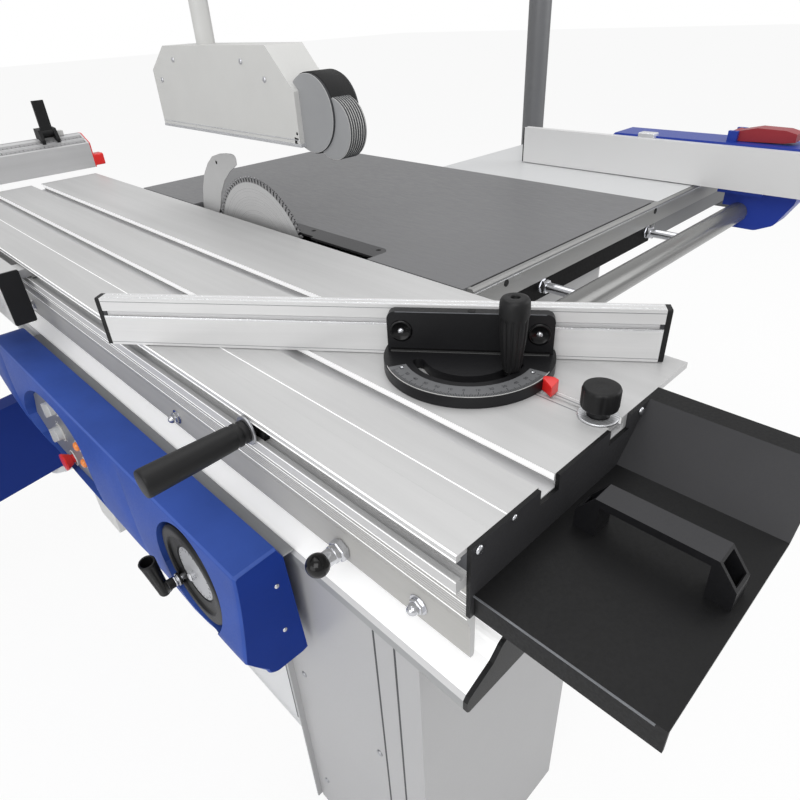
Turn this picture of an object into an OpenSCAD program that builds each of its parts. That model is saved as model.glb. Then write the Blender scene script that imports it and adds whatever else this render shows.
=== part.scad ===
// Sliding table saw: a cabinet with a cast table, a tilting and rising saw unit,
// a sliding table on a guide beam, an outrigger on a swing arm, and three fences.
// Lengths are millimetres. The floor is z = 0 and the origin is the middle of the
// cabinet's base, in the plane of the blade. +Y is the feed, +X is towards the rip fence.
// Most modules are written in the table's own frame: x from the sliding table's outer
// edge, y from its operator end, z from the table surface.

/* [Tables] */
// Height of the table surface above the floor
table_h = 860; // [840:5:880]
// Width of the sliding table
slide_w = 375; // [370:1:380]
// Length of the sliding table and its guide beam
slide_l = 1600; // [1560:5:1640]
// Thickness of the sliding table's deck
deck_t = 7; // [6:0.5:8]
// Width of the two T-slots in the deck
slot_w = 23; // [20:0.5:24]
// Width of the cast table
cast_w = 562; // [547:5:577]
// How far the cast table reaches past the cabinet's rear wall
cast_over = 63.5; // [44:0.5:84]
// Thickness of the cast table's plate
cast_t = 12; // [10:0.5:14]
// Depth of the cast table's skirt
skirt_h = 60; // [56:1:64]
// Width of the extension table
ext_w = 565; // [540:5:590]
// Length of the extension table
ext_l = 552; // [540:2:564]

/* [Saw unit] */
// Diameter of the blade
blade_d = 315; // [300:1:315]
// Thickness of the blade's body
blade_t = 2.2; // [1.8:0.1:2.4]
// Thickness across the teeth
kerf = 3.2; // [2.8:0.1:3.4]
// Number of teeth
teeth = 96; // [60:4:96]
// Bore of the blade
bore_d = 30; // [25:1:32]
// Gap between the sliding table's edge and the blade's middle plane
blade_gap = 18; // [17:0.5:19]
// Distance of the arbor from the operator end of the sliding table
blade_y = 845; // [840:1:850]
// Depth of the arbor below the table surface
arbor_drop = 76; // [74:0.5:80]
// Distance between the arbor and the motor shaft
belt_c = 254; // [250:1:258]
// Radius of the arbor pulley
pulley_a = 33; // [30:1:36]
// Radius of the motor pulley
pulley_m = 50; // [45:1:54]
// Radius of the motor
motor_r = 70; // [64:1:72]

/* [Cabinet] */
// Width of the cabinet
cab_w = 780; // [770:2:790]
// Length of the cabinet
cab_l = 925; // [915:1:935]
// Thickness of the sheet steel
sheet = 3; // [2:0.5:4]
// Distance of the anchor holes from the cabinet's sides
anchor_in_x = 90; // [80:1:100]
// Distance of the anchor holes from the cabinet's front and rear
anchor_in_y = 37.5; // [30:0.5:50]
// Radius of an anchor hole
anchor_r = 7; // [5:0.5:9]
// Radius of the dust port
port_r = 60; // [50:1:62]

/* [Handles and fences] */
// Radius of the handwheels
wheel_r = 72; // [68:1:76]
// Radius of the handwheel shafts
wheel_shaft_r = 10; // [8:0.5:12]
// Radius of the round fence rail
rail_r = 20; // [18:0.5:22]
// Length of the rip fence's plate
rip_l = 727; // [700:5:740]
// Height of the rip fence's plate
rip_h = 78; // [70:1:84]
// Length of the mitre fence
mitre_l = 636; // [600:4:660]
// Height of the mitre fence
mitre_h = 60; // [54:1:64]
// Radius of the mitre gauge's base
mitre_r = 93; // [88:1:96]
// Angle of the mitre fence at rest, from square
mitre_a = -53.6; // [-58:0.2:-45]
// Length of the crosscut fence
cross_l = 1283; // [1203:5:1303]
// Length of the swing arm from its pivot
arm_l = 700; // [680:5:720]
// Radius of the guard's post
post_r = 30; // [26:1:34]

/* [Fits] */
// Radial clearance of a running shaft
run = 0.05; // [0.02:0.01:0.08]
// Gap between sliding pieces
slip = 0.4; // [0.3:0.05:0.6]

/* [Hidden] */
$fn = 64;

// Colours
pale_grey = [0.78, 0.79, 0.80];
alu_grey = [0.72, 0.73, 0.74];
bright_alu = [0.86, 0.87, 0.88];
cast_grey = [0.45, 0.45, 0.46];
steel_grey = [0.62, 0.63, 0.65];
black = [0.10, 0.10, 0.11];
machine_blue = [0.16, 0.27, 0.62];
deep_blue = [0.08, 0.15, 0.42];
signal_red = [0.85, 0.12, 0.12];

// Places that follow from the sizes
bx = slide_w + blade_gap;
cab_x = bx - cab_w / 2;
cab_y = 327.5;
ped_x = cab_x + 12;
toe_x = cab_x + 60;
toe_z = -600;
anchor_x = cab_w - 2 * anchor_in_x;
anchor_y = cab_l - 2 * anchor_in_y;
rear_y = cab_y + cab_l;
floor_z = -table_h;
base_t = 8;
base_top = floor_z + base_t;
under_z = -skirt_h;
cast_x = slide_w + 3;
cast_y = cab_y - 11.5;
cast_l = rear_y + cast_over - cast_y;
ext_x = cast_x + cast_w;
ext_y = 308;
blade_r = blade_d / 2;
arbor_r = bore_d / 2;
housing_r = 32;
pulley_x = bx + 129;
pulley_w = 22;
motor_z = -arbor_drop - belt_c;

// Sliding table
face_x = 13.5;
body_h = 76;
body_x1 = 300;
slot1_x = 101.5;
slot2_x = 212;
slot_mid = slot2_x + slot_w / 2;
slot_cav = 8;
apron_z = -137;
leg_l = 60;
leg_r = 162;
leg_t = 8;
leg_z = -135;

// Guide beam
beam_x0 = 10;
beam_x1 = 165;
beam_z0 = -205;
beam_z1 = -150;
rib_x0 = 90;
rib_x1 = 140;
rib_z = -100;

// Control housing
house_x0 = cab_x - 73;
house_y0 = 250;
house_y1 = rear_y - 77.5;
house_z0 = -345;
house_z1 = -160;
wheel_y = 367;
wheel_z = -245;
plate_x = cab_x - 63;

// Fence rail
rail_y = 225;
rail_z = -50;
rail_x0 = 395;
stud_x = [562, 908];
end_stud_x = 1400;
stud_r = 8;

// Swing arm
arm_px = cab_x - 33;
arm_py = rear_y - 12.5;
arm_z0 = -552;
arm_z1 = -352;
arm_w = 48;
arm_a = 191.3;
arm_pin_r = 15;

// Moves a child from the table's frame to the floor's
module at_table() {
    translate([-(cab_x + cab_w / 2), -(cab_y + cab_l / 2), table_h]) children();
}

// A block between two corners
module block(lo, hi) {
    translate(lo) cube(hi - lo);
}

// Round bars along the three axes
module rod_x(x0, x1, y, z, r) {
    translate([x0, y, z]) rotate([0, 90, 0]) cylinder(r = r, h = x1 - x0);
}
module rod_y(y0, y1, x, z, r) {
    translate([x, y1, z]) rotate([90, 0, 0]) cylinder(r = r, h = y1 - y0);
}
module rod_z(z0, z1, x, y, r) {
    translate([x, y, z0]) cylinder(r = r, h = z1 - z0);
}

// Extrusions of an outline drawn in the x-z and in the y-z plane
module along_y(y0, y1) {
    translate([0, y1, 0]) rotate([90, 0, 0]) linear_extrude(y1 - y0) children();
}
module along_x(x0, x1) {
    translate([x0, 0, 0]) rotate([90, 0, 90]) linear_extrude(x1 - x0) children();
}

// Points on an arc
function arc(c, r, a0, a1, n) =
    [for (i = [0:n]) c + r * [cos(a0 + (a1 - a0) * i / n), sin(a0 + (a1 - a0) * i / n)]];

// Outline of a rectangle with round corners
function round_box(lo, hi, r, n = 5) = concat(
    arc([hi[0] - r, hi[1] - r], r, 0, 90, n), arc([lo[0] + r, hi[1] - r], r, 90, 180, n),
    arc([lo[0] + r, lo[1] + r], r, 180, 270, n), arc([hi[0] - r, lo[1] + r], r, 270, 360, n));

// A nut
module nut_y(y0, y1, x, z, r) {
    translate([x, y1, z]) rotate([90, 0, 0]) cylinder(r = r, h = y1 - y0, $fn = 6);
}

// Base plate with the anchor holes
module base_plate() {
    color(pale_grey) difference() {
        translate([toe_x - bx, -cab_l / 2, 0]) cube([cab_w / 2 + bx - toe_x, cab_l, base_t]);
        for (sx = [-1, 1], sy = [-1, 1])
            translate([sx * anchor_x / 2, sy * anchor_y / 2, -1])
                cylinder(r = anchor_r, h = base_t + 2);
    }
}

// Left wall with the shoulder that carries the guide beam, and the arm's lugs
inlet_y0 = 700;
inlet_y1 = 777;
lug_t = 16;
module cabinet_left() {
    color(pale_grey) at_table() difference() {
        union() {
            block([cab_x, cab_y, toe_z], [cab_x + sheet, rear_y, beam_z0]);
            block([cab_x, cab_y + sheet, toe_z], [toe_x + sheet, rear_y, toe_z + sheet]);
            block([toe_x, cab_y + sheet, base_top], [toe_x + sheet, rear_y, toe_z + sheet]);
            block([cab_x, cab_y + sheet, beam_z0 - sheet], [beam_x1, cab_y + cab_l, beam_z0]);
            for (z = [arm_z0 - 1 - lug_t, arm_z1 + 1]) {
                block([arm_px, arm_py - 28, z], [cab_x + 1, arm_py + 12, z + lug_t]);
                rod_z(z, z + lug_t, arm_px, arm_py, 24);
            }
            block([cab_x - 63, inlet_y0, house_z0 - 55], [cab_x + 1, inlet_y1, house_z0 - 0.5]);
            rod_y(inlet_y0 - 22, inlet_y0 + 1, cab_x - 31, house_z0 - 28, 12);
        }
        rod_z(arm_z0 - 40, arm_z1 + 40, arm_px, arm_py, arm_pin_r + run);
        rod_x(cab_x - 1, cab_x + sheet + 1, wheel_y, wheel_z, wheel_shaft_r + run);
        rod_y(inlet_y0 - 23, inlet_y0 - 8, cab_x - 31, house_z0 - 28, 6);
    }
}

// Right wall
module cabinet_right() {
    color(pale_grey) at_table()
        block([cab_x + cab_w - sheet, cab_y, base_top], [cab_x + cab_w, cab_y + cab_l, under_z]);
}

// Outline of an end wall below the tables, from a given x below the left wall's step
module end_wall(low_x) {
    x0 = cab_x + sheet;
    x1 = cab_x + cab_w - sheet;
    gap_z = -body_h - 14;
    step = low_x > x0 ? [[x0, toe_z + sheet], [low_x, toe_z + sheet]] : [];
    polygon(concat([[low_x, base_top], [x1, base_top], [x1, under_z], [cast_x + 12, under_z],
        [cast_x + 12, gap_z], [leg_r + leg_t + 6, gap_z], [leg_r + leg_t + 6, beam_z0 - sheet],
        [x0, beam_z0 - sheet]], step));
}

// Front wall with the hollow pedestal under the sliding table
ped_y0 = 60;
ped_w = 325;
tilt_x = bx + 167;
tilt_z = -330;
module cabinet_front() {
    color(pale_grey) at_table() difference() {
        union() {
            along_y(cab_y, cab_y + sheet) end_wall(cab_x + sheet);
            block([ped_x, ped_y0, floor_z], [ped_x + sheet, cab_y, beam_z0]);
            block([cab_x + ped_w, ped_y0, floor_z], [cab_x + ped_w + sheet, cab_y, beam_z0 - sheet]);
            block([ped_x, ped_y0, floor_z], [cab_x + ped_w + sheet, ped_y0 + sheet, beam_z0 - sheet]);
            block([ped_x, ped_y0, floor_z], [cab_x + ped_w + sheet, cab_y, base_top + sheet]);
            block([ped_x, ped_y0, beam_z0 - sheet], [cab_x + ped_w + sheet, cab_y, beam_z0]);
            block([ped_x, cab_y - sheet, beam_z0 - sheet], [cab_x + ped_w, cab_y + sheet, beam_z0]);
            block([ped_x, cab_y - sheet, floor_z], [ped_x + 2 * sheet, cab_y, beam_z0]);
        }
        rod_y(cab_y - 1, cab_y + sheet + 1, tilt_x, tilt_z, wheel_shaft_r + run);
        block([toe_x + 20, cab_y - 1, base_top + 20], [beam_x1 - 10, cab_y + sheet + 1, beam_z0 - 30]);
    }
}

// Rear wall with the door opening, the dust hole and the hinge pins
door_x0 = 430;
door_x1 = 730;
door_z0 = -690;
door_z1 = -300;
pin_x = door_x0 - 28;
pin_r = 4;
chute_x = 300;
chute_z = -700;
module cabinet_rear() {
    color(pale_grey) at_table() {
        difference() {
            along_y(rear_y - sheet, rear_y) end_wall(toe_x + sheet);
            block([door_x0, rear_y - sheet - 1, door_z0], [door_x1, rear_y + 1, door_z1]);
            rod_y(rear_y - sheet - 1, rear_y + 1, chute_x, chute_z, port_r + 0.3);
        }
        for (z = [door_z0 - 30, door_z1 + 20])
            block([pin_x - 6, rear_y, z], [pin_x + 6, rear_y + 13, z + 10]);
        rod_z(door_z0 - 25, door_z1 + 25, pin_x, rear_y + 9, pin_r);
    }
}

// Service door on its pins
module service_door() {
    gap = 0.8;
    color(pale_grey) at_table() difference() {
        union() {
            block([pin_x + 1, rear_y + gap, door_z0 - 15], [door_x1 + 15, rear_y + gap + sheet, door_z1 + 15]);
            rod_z(door_z0 - 15, door_z1 + 15, pin_x, rear_y + 9, 8);
            block([pin_x, rear_y + gap, door_z0 - 15], [pin_x + 8, rear_y + 9, door_z1 + 15]);
            rod_y(rear_y + gap, rear_y + 22, door_x1 - 25, (door_z0 + door_z1) / 2, 14);
        }
        rod_z(door_z0 - 40, door_z1 + 40, pin_x, rear_y + 9, pin_r + run);
    }
}

// Cast table: plate, skirts and ribs, a rebate for the insert and a throat for the blade
insert_y0 = 515;
insert_y1 = 1061;
insert_x0 = bx + 4;
insert_x1 = bx + 36;
insert_t = 4;
insert_r = 16;
throat_x1 = bx + 22;
saw_y0 = blade_y - blade_r - 20;
saw_y1 = blade_y + blade_r + 72;
rib_right = cab_x + cab_w - sheet;
module insert_plan(gap) {
    x1 = insert_x1 + gap;
    y0 = insert_y0 - gap;
    translate([cast_x - 1, y0]) square([x1 - insert_r - cast_x + 1, insert_y1 - y0 + gap]);
    translate([cast_x - 1, y0 + insert_r]) square([x1 - cast_x + 1, insert_y1 - y0 + gap - insert_r]);
    translate([x1 - insert_r, y0 + insert_r]) circle(r = insert_r);
}
module fixed_table() {
    x1 = cast_x + cast_w;
    y1 = cast_y + cast_l;
    color(cast_grey) at_table() difference() {
        union() {
            block([cast_x, cast_y, -cast_t], [x1, y1, 0]);
            block([cast_x, cast_y, under_z], [x1, cast_y + 16, -1]);
            block([cast_x + 12, y1 - 12, under_z], [x1, y1, -1]);
            block([x1 - 12, cast_y, under_z], [x1, y1, -1]);
            block([rib_right - 6, cast_y, under_z], [rib_right + 9, y1, -1]);
            block([cast_x + 12, rear_y - 9, under_z], [x1, rear_y + 6, -1]);
            for (y = [cast_y + 170, saw_y1 + 60])
                block([bx + 150, y, under_z + 14], [x1, y + 10, -1]);
        }
        translate([0, 0, -insert_t - 0.2]) linear_extrude(insert_t + 1) insert_plan(0.3);
        block([cast_x - 1, insert_y0 + 12, -cast_t - 1], [throat_x1, insert_y1 - 10, 1]);
        block([cast_x - 1, insert_y0 + 1, -cast_t - 1], [insert_x0, insert_y1 + 10, 1]);
        for (x = stud_x) rod_y(cast_y - 1, cast_y + 17, x, rail_z, stud_r + 0.2);
    }
}

// Steel strip beside the blade, wider ahead of the blade, with three screw holes
tongue_x0 = bx - 2;
tongue_y1 = blade_y - blade_r - 10;
module table_insert() {
    color(steel_grey) at_table() difference() {
        translate([0, 0, -insert_t]) linear_extrude(insert_t) difference() {
            insert_plan(0);
            translate([cast_x - 2, insert_y0 - 1]) square([tongue_x0 - cast_x + 2, insert_y1 - insert_y0 + 2]);
            translate([cast_x - 2, tongue_y1]) square([insert_x0 - cast_x + 2, insert_y1 - tongue_y1 + 1]);
        }
        for (y = [insert_y0 + 16, blade_y - 141, insert_y1 - 16])
            rod_z(-insert_t - 1, 1, insert_x1 - 11, y, 3);
    }
}

// Folded sheet table to the right of the cast table
ext_h = 72;
module extension_table() {
    color(pale_grey) at_table() difference() {
        block([ext_x, ext_y, -ext_h], [ext_x + ext_w, ext_y + ext_l, 0]);
        block([ext_x + sheet, ext_y + sheet, -ext_h - 1], [ext_x + ext_w - sheet, ext_y + ext_l - sheet, -sheet]);
    }
}

// Cross tube and brace under the extension table, with the post for the guard
post_x = 1400;
post_y = ext_y + ext_l + 60;
boom_z0 = 430;
boom_z1 = 490;
post_pin_r = 20;
module extension_frame() {
    tube_z0 = -ext_h - 40;
    wall_x = cab_x + cab_w;
    run_x = post_x - 20 - wall_x;
    drop = 430;
    color(pale_grey) at_table() {
        block([post_x - 20, ext_y, tube_z0], [post_x + 20, post_y + 20, -ext_h]);
        along_y(560, 600)
            polygon([[wall_x, -drop - 60], [wall_x + 20, -drop - 60], [post_x - 19, tube_z0],
                [post_x - 19, tube_z0 + 40], [wall_x, -drop + 20]]);
        rod_z(tube_z0, boom_z0, post_x, post_y, post_r);
        rod_z(boom_z0 - 1, boom_z1, post_x, post_y, post_pin_r);
    }
}

// Square rail along the near edge of the tables
front_y0 = 304;
module front_rail() {
    color(alu_grey) at_table() difference() {
        along_x(bx - 6, ext_x + ext_w) polygon([[front_y0, -38], [cast_y, -38], [cast_y, -1],
            [front_y0 + 3, -1], [front_y0, -4]]);
        block([ext_x - 0.2, ext_y - 0.2, -39], [ext_x + ext_w + 1, cast_y + 1, 1]);
        for (x = [bx + 69, bx + 532]) rod_y(front_y0 - 1, front_y0 + 5, x, -14, 4);
    }
}

// Black bar under the rail that carries the studs
module rail_bracket() {
    color(black) at_table() difference() {
        block([bx + 4, front_y0 + 4, -72], [ext_x - 15, cast_y, -38]);
        for (x = stud_x) rod_y(front_y0, cast_y + 1, x, rail_z, stud_r + 0.2);
    }
}

// Round rail for the rip fence
module round_rail() {
    x1 = ext_x + ext_w;
    color(steel_grey) at_table() difference() {
        rod_x(rail_x0, x1, rail_y, rail_z, rail_r);
        rod_x(rail_x0 - 1, x1 + 1, rail_y, rail_z, rail_r - 3);
        for (x = concat(stud_x, [end_stud_x])) rod_y(rail_y, rail_y + 30, x, rail_z, stud_r + run);
    }
}

// Stand-off studs with their collars and nuts
module rail_studs() {
    color(steel_grey) at_table() {
        for (x = stud_x) {
            rod_y(rail_y + 3, cast_y + 26, x, rail_z, stud_r);
            rod_y(front_y0 + 1, front_y0 + 4, x, rail_z, 11.5);
            nut_y(front_y0 - 8, front_y0 + 2, x, rail_z, 11);
            nut_y(cast_y + 16, cast_y + 24, x, rail_z, 12);
        }
        rod_y(rail_y + 3, ext_y, end_stud_x, rail_z, stud_r);
        rod_y(ext_y - 4, ext_y, end_stud_x, rail_z, 11.5);
    }
}

// Outline of the guide beam without its rib
function beam_outline() = concat(
    [[beam_x0, beam_z0 + 3], [beam_x0 + 3, beam_z0], [beam_x1 - 3, beam_z0], [beam_x1, beam_z0 + 3],
    [beam_x1, beam_z1], [67, beam_z1]],
    arc([67, -167], 14, 105, 150, 3), [[46, -169], [30, -177], [14, -185], [beam_x0, -190]]);

// Guide beam with its running rib
module guide_beam() {
    wall = 5;
    color(bright_alu) at_table() along_y(0, slide_l) difference() {
        union() {
            polygon(beam_outline());
            translate([rib_x0, beam_z1 - 1]) square([rib_x1 - rib_x0, rib_z - beam_z1 + 1]);
        }
        polygon([[beam_x0 + wall, beam_z0 + wall], [beam_x1 - wall, beam_z0 + wall],
            [beam_x1 - wall, beam_z1 - wall], [70, beam_z1 - wall], [50, -176], [beam_x0 + wall, -193]]);
        translate([rib_x0 + wall, beam_z1]) square([rib_x1 - rib_x0 - 2 * wall, rib_z - beam_z1 - wall]);
    }
}

// Black caps on both ends of the beam
cap_t = 5;
module beam_end_caps() {
    color(black) at_table() {
        along_y(-cap_t, 0) polygon(beam_outline());
        along_y(slide_l, slide_l + cap_t) polygon(beam_outline());
    }
}

// Blue moulded housing with a round recess for the handwheel and one for the controls
shell_t = 4;
function house_outline(g) = concat([[house_y0 + g, house_z1 - g], [house_y0 + g, house_z0 + g]],
    arc([house_y1 - 100, house_z0 + 100], 100 - g, 270, 360, 6),
    arc([house_y1 - 80, house_z1 - 80], 80 - g, 0, 90, 6));
drop_mid = [850, -262];
drop = [[686, -222], [745, -187], [842, -182], [914, -197], [985, -240], [1030, -300],
    [968, -337], [863, -338], [745, -328], [688, -322]];
function teardrop(g) = [for (p = drop) p + g * (drop_mid - p) / norm(drop_mid - p)];
recess_r = wheel_r + 6.5;
module control_housing() {
    cup_t = 3.5;
    cup_x = cab_x - 43;
    floor_x = plate_x + sheet;
    color(machine_blue) at_table() difference() {
        union() {
            difference() {
                along_x(house_x0, cab_x) polygon(house_outline(0));
                along_x(house_x0 + shell_t, cab_x + 1) polygon(house_outline(shell_t));
            }
            rod_x(house_x0, cup_x, wheel_y, wheel_z, recess_r + cup_t);
            along_x(house_x0, floor_x + cup_t) polygon(teardrop(-cup_t));
        }
        rod_x(house_x0 - 1, cup_x - cup_t, wheel_y, wheel_z, recess_r);
        rod_x(house_x0 - 1, cab_x, wheel_y, wheel_z, wheel_shaft_r + 3);
        along_x(house_x0 - 1, floor_x) polygon(teardrop(0));
        for (p = control_spots) rod_x(house_x0, cab_x, p[0], p[1], 13);
        block([floor_x - 1, switch_y - 9, switch_z - switch_h / 2 - 1],
            [cab_x, switch_y + 9, switch_z + switch_h / 2 + 1]);
    }
}

// Grey plate in the control recess
stop_y = 848;
stop_z = -318;
speed_y = 845;
speed_z = -208;
mode_y = 870;
mode_z = -272;
switch_y = 723;
switch_z = -300;
switch_h = 40;
control_spots = [[stop_y, stop_z], [speed_y, speed_z], [mode_y, mode_z]];
module switch_plate() {
    color(cast_grey) at_table() difference() {
        along_x(plate_x, plate_x + sheet) polygon(teardrop(0.5));
        for (p = [[speed_y, speed_z], [mode_y, mode_z]]) rod_x(plate_x - 1, plate_x + 4, p[0], p[1], 5 + run);
        rod_x(plate_x - 1, plate_x + 4, stop_y, stop_z, 8 + run);
        block([plate_x - 1, switch_y - 7, switch_z - switch_h / 2],
            [plate_x + 4, switch_y + 7, switch_z + switch_h / 2]);
    }
}

// Mushroom stop button
module stop_button() {
    color(signal_red) at_table() {
        rod_x(plate_x - 14, plate_x + 12, stop_y, stop_z, 8);
        translate([plate_x - 17, stop_y, stop_z]) rotate([0, 90, 0])
            cylinder(r1 = 16, r2 = 10, h = 11);
        rod_x(plate_x - 20, plate_x - 16.9, stop_y, stop_z, 16);
    }
}

// A rotary knob with a grip across it
module rotary_knob(y, z) {
    color(pale_grey) at_table() {
        rod_x(plate_x - 5, plate_x + 9, y, z, 5);
        rod_x(plate_x - 10, plate_x - 1, y, z, 13);
        block([plate_x - 17, y - 4, z - 12], [plate_x - 9, y + 4, z + 12]);
    }
}
module speed_knob() { rotary_knob(speed_y, speed_z); }
module mode_knob() { rotary_knob(mode_y, mode_z); }

// Slim push switch
module start_switch() {
    color(bright_alu) at_table()
        block([plate_x - 7, switch_y - 6.6, switch_z - switch_h / 2 + 0.4],
            [plate_x + 6, switch_y + 6.6, switch_z + switch_h / 2 - 0.4]);
}

// Curved cradles that carry the trunnions, on cross bars between the walls
tr_y = [570, 1110];
tr_t = 20;
tr_r0 = 190;
tr_r1 = 240;
module ring_sector(r0, r1, a0, a1) {
    polygon(concat(arc([bx, 0], r1, a0, a1, 24), arc([bx, 0], r0, a1, a0, 24)));
}
module trunnion_cradles() {
    color(cast_grey) at_table() for (y = tr_y) {
        along_y(y, y + tr_t) difference() {
            translate([cab_x + sheet, -330]) square([cab_w - 2 * sheet, 60]);
            translate([bx, 0]) circle(r = tr_r1 + 0.3, $fn = 180);
        }
        along_y(y, y + tr_t) difference() {
            translate([bx - 150, -290]) square([330, 105]);
            translate([bx, 0]) circle(r = tr_r1 + 0.3, $fn = 180);
        }
    }
}

// Tilting frame: two trunnions, two guide rods and a lower bar
guide_x = bx + 89;
guide_r = 12;
guide_y = [630, 1070];
guide_z0 = -412;
guide_z1 = -200;
bar_h = 30;
module trunnions() {
    color(cast_grey) at_table() {
        for (y = [tr_y[0], tr_y[1] - 12]) along_y(y, y + tr_t + 12) difference() {
            translate([bx, 0]) circle(r = tr_r1, $fn = 180);
            translate([bx, 0]) circle(r = tr_r0, $fn = 180);
            translate([bx - 300, -40]) square([600, 400]);
            polygon([[bx, 0], [bx - 40, -300], [bx - 400, -300], [bx - 400, 10]]);
            polygon([[bx, 0], [bx + 300, -160], [bx + 300, 10]]);
        }
        block([guide_x - 16, tr_y[0] + tr_t + 3, guide_z1 - 30], [guide_x + 16, guide_y[0] + 20, guide_z1]);
        block([guide_x - 16, guide_y[1] - 20, guide_z1 - 30], [guide_x + 16, tr_y[1] - 3, guide_z1]);
        for (y = guide_y) rod_z(guide_z0 - 1, guide_z1 - 29, guide_x, y, guide_r);
        block([guide_x - 16, guide_y[0] - 20, guide_z0 - bar_h], [guide_x + 16, guide_y[1] + 20, guide_z0]);
    }
}

// Rising carriage: two bushed bosses, a cross plate, a web, the arbor housing and a motor shelf
boss_z0 = -312;
boss_z1 = -256;
web_x0 = bx + 51;
web_x1 = bx + 72;
rung_x0 = bx + 109;
rung_x1 = bx + 121;
motor_x0 = bx + 159;
motor_l = 190;
shelf_z = motor_z - motor_r - 6;
module saw_carriage() {
    color(steel_grey) at_table() difference() {
        union() {
            for (y = guide_y)
                block([guide_x - 20, y - 22, boss_z0], [rung_x1, y + 22, boss_z1]);
            block([rung_x0, guide_y[0], boss_z0], [rung_x1, guide_y[1], boss_z1]);
            block([web_x0, blade_y - 30, boss_z0], [rung_x1, blade_y + 30, boss_z1]);
            block([web_x0, blade_y - 30, boss_z0], [web_x1, blade_y + 30, -arbor_drop]);
            block([bx + 18, blade_y - 24, -205], [web_x0 + 1, blade_y + 24, -170]);
            rod_x(bx + 10, web_x1 + 4, blade_y, -arbor_drop, housing_r);
            block([bx + blade_t / 2 + 0.3, blade_y + 168, boss_z0], [web_x1, blade_y + 198, boss_z0 + 112]);
            block([web_x0, blade_y + 168, boss_z0], [rung_x1, blade_y + 198, boss_z1]);
            block([rung_x0, blade_y - 60, shelf_z - 14], [rung_x1, blade_y + 60, boss_z1]);
            block([rung_x0, blade_y - 60, shelf_z - 14], [motor_x0 + motor_l - 10, blade_y + 60, shelf_z]);
        }
        for (y = guide_y) rod_z(boss_z0 - 1, boss_z1 + 1, guide_x, y, guide_r + run);
        rod_x(bx, web_x1 + 10, blade_y, -arbor_drop, 12.5 + run);
    }
}

// Riving knife behind the blade
knife_t = 1.8;
knife_r0 = blade_r + 7;
knife_r1 = 225;
knife_top = 115;
module riving_knife() {
    color(pale_grey) at_table() along_x(bx - knife_t / 2, bx + blade_t / 2 + 0.3) difference() {
        intersection() {
            translate([blade_y, -arbor_drop]) circle(r = knife_r1, $fn = 128);
            translate([blade_y + 46, boss_z0 + 60]) square([200, knife_top - boss_z0 - 60]);
        }
        translate([blade_y, -arbor_drop]) circle(r = knife_r0, $fn = 128);
        translate([blade_y + 198, boss_z0]) square([80, -boss_z0 - 110]);
        translate([965, 94]) circle(r = 3);
    }
}

// Motor with its feet and fan cowl
module motor() {
    x1 = motor_x0 + motor_l;
    color(machine_blue) at_table() difference() {
        union() {
            rod_x(motor_x0, x1 - 40, blade_y, motor_z, motor_r);
            rod_x(x1 - 41, x1, blade_y, motor_z, motor_r - 4);
            for (x = [motor_x0 + 25, x1 - 75])
                block([x, blade_y - 52, shelf_z], [x + 30, blade_y + 52, motor_z - motor_r + 26]);
            block([motor_x0 + 50, blade_y - motor_r - 26, motor_z - 30], [motor_x0 + 120, blade_y - motor_r + 12, motor_z + 40]);
        }
        rod_x(motor_x0 - 1, motor_x0 + 26, blade_y, motor_z, 14 + run);
    }
}

// Outline between two pulleys, at a distance g from their rims
function belt_path(g) = let(ra = pulley_a + g, rm = pulley_m + g,
    t = asin((pulley_m - pulley_a) / belt_c)) concat(
    arc([blade_y, -arbor_drop], ra, t, 180 - t, 24),
    arc([blade_y, motor_z], rm, 180 - t, 360 + t, 36));
module drive_belt() {
    color(black) at_table() along_x(pulley_x + 3, pulley_x + pulley_w - 3) difference() {
        polygon(belt_path(5));
        polygon(belt_path(0.4));
    }
}

// Sheet shroud round the lower half of the blade
module blade_shroud() {
    x0 = bx - 9;
    x1 = bx + 18;
    y0 = blade_y - blade_r - 8;
    y1 = blade_y + blade_r + 4;
    z0 = -236;
    color(black) at_table() difference() {
        block([x0, y0, z0], [x1, y1, -152]);
        block([x0 + 2, y0 + 2, z0 + 2], [x1 - 2, y1 - 2, -151]);
        block([x0 + 4, blade_y - 90, z0 - 1], [x1 - 4, blade_y + 90, z0 + 3]);
        block([bx - 3, blade_y + 38, z0 - 1], [bx + 4, y1 + 1, -150]);
    }
}

// Arbor shaft with its pulley
module arbor_shaft() {
    color(steel_grey) at_table() {
        rod_x(bx - 24, bx + 9.5, blade_y, -arbor_drop, arbor_r);
        rod_x(bx + 9, pulley_x + 1, blade_y, -arbor_drop, 12.5);
        rod_x(pulley_x, pulley_x + pulley_w, blade_y, -arbor_drop, pulley_a);
    }
}

// Blade: a toothed disc with its bore
module saw_blade() {
    root_r = blade_r - 5;
    step = 360 / teeth;
    function tooth(i) = let(a = i * step) [
        root_r * [cos(a), sin(a)],
        blade_r * [cos(a + step * 0.18), sin(a + step * 0.18)],
        blade_r * [cos(a + step * 0.42), sin(a + step * 0.42)],
        root_r * [cos(a + step * 0.72), sin(a + step * 0.72)]];
    color(bright_alu) at_table() along_x(bx - blade_t / 2, bx + blade_t / 2)
        translate([blade_y, -arbor_drop]) difference() {
            polygon([for (i = [0:teeth - 1]) each tooth(i)]);
            circle(r = arbor_r + run);
        }
}

// Two flanges and the arbor nut
module clamp_flanges() {
    color(steel_grey) at_table() difference() {
        union() {
            rod_x(bx + blade_t / 2, bx + 9, blade_y, -arbor_drop, 38);
            rod_x(bx - 8, bx - blade_t / 2, blade_y, -arbor_drop, 34);
            translate([bx - 22, blade_y, -arbor_drop]) rotate([0, 90, 0])
                cylinder(r = 21, h = 14.5, $fn = 6);
        }
        rod_x(bx - 30, bx + 12, blade_y, -arbor_drop, arbor_r + run);
    }
}

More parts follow.
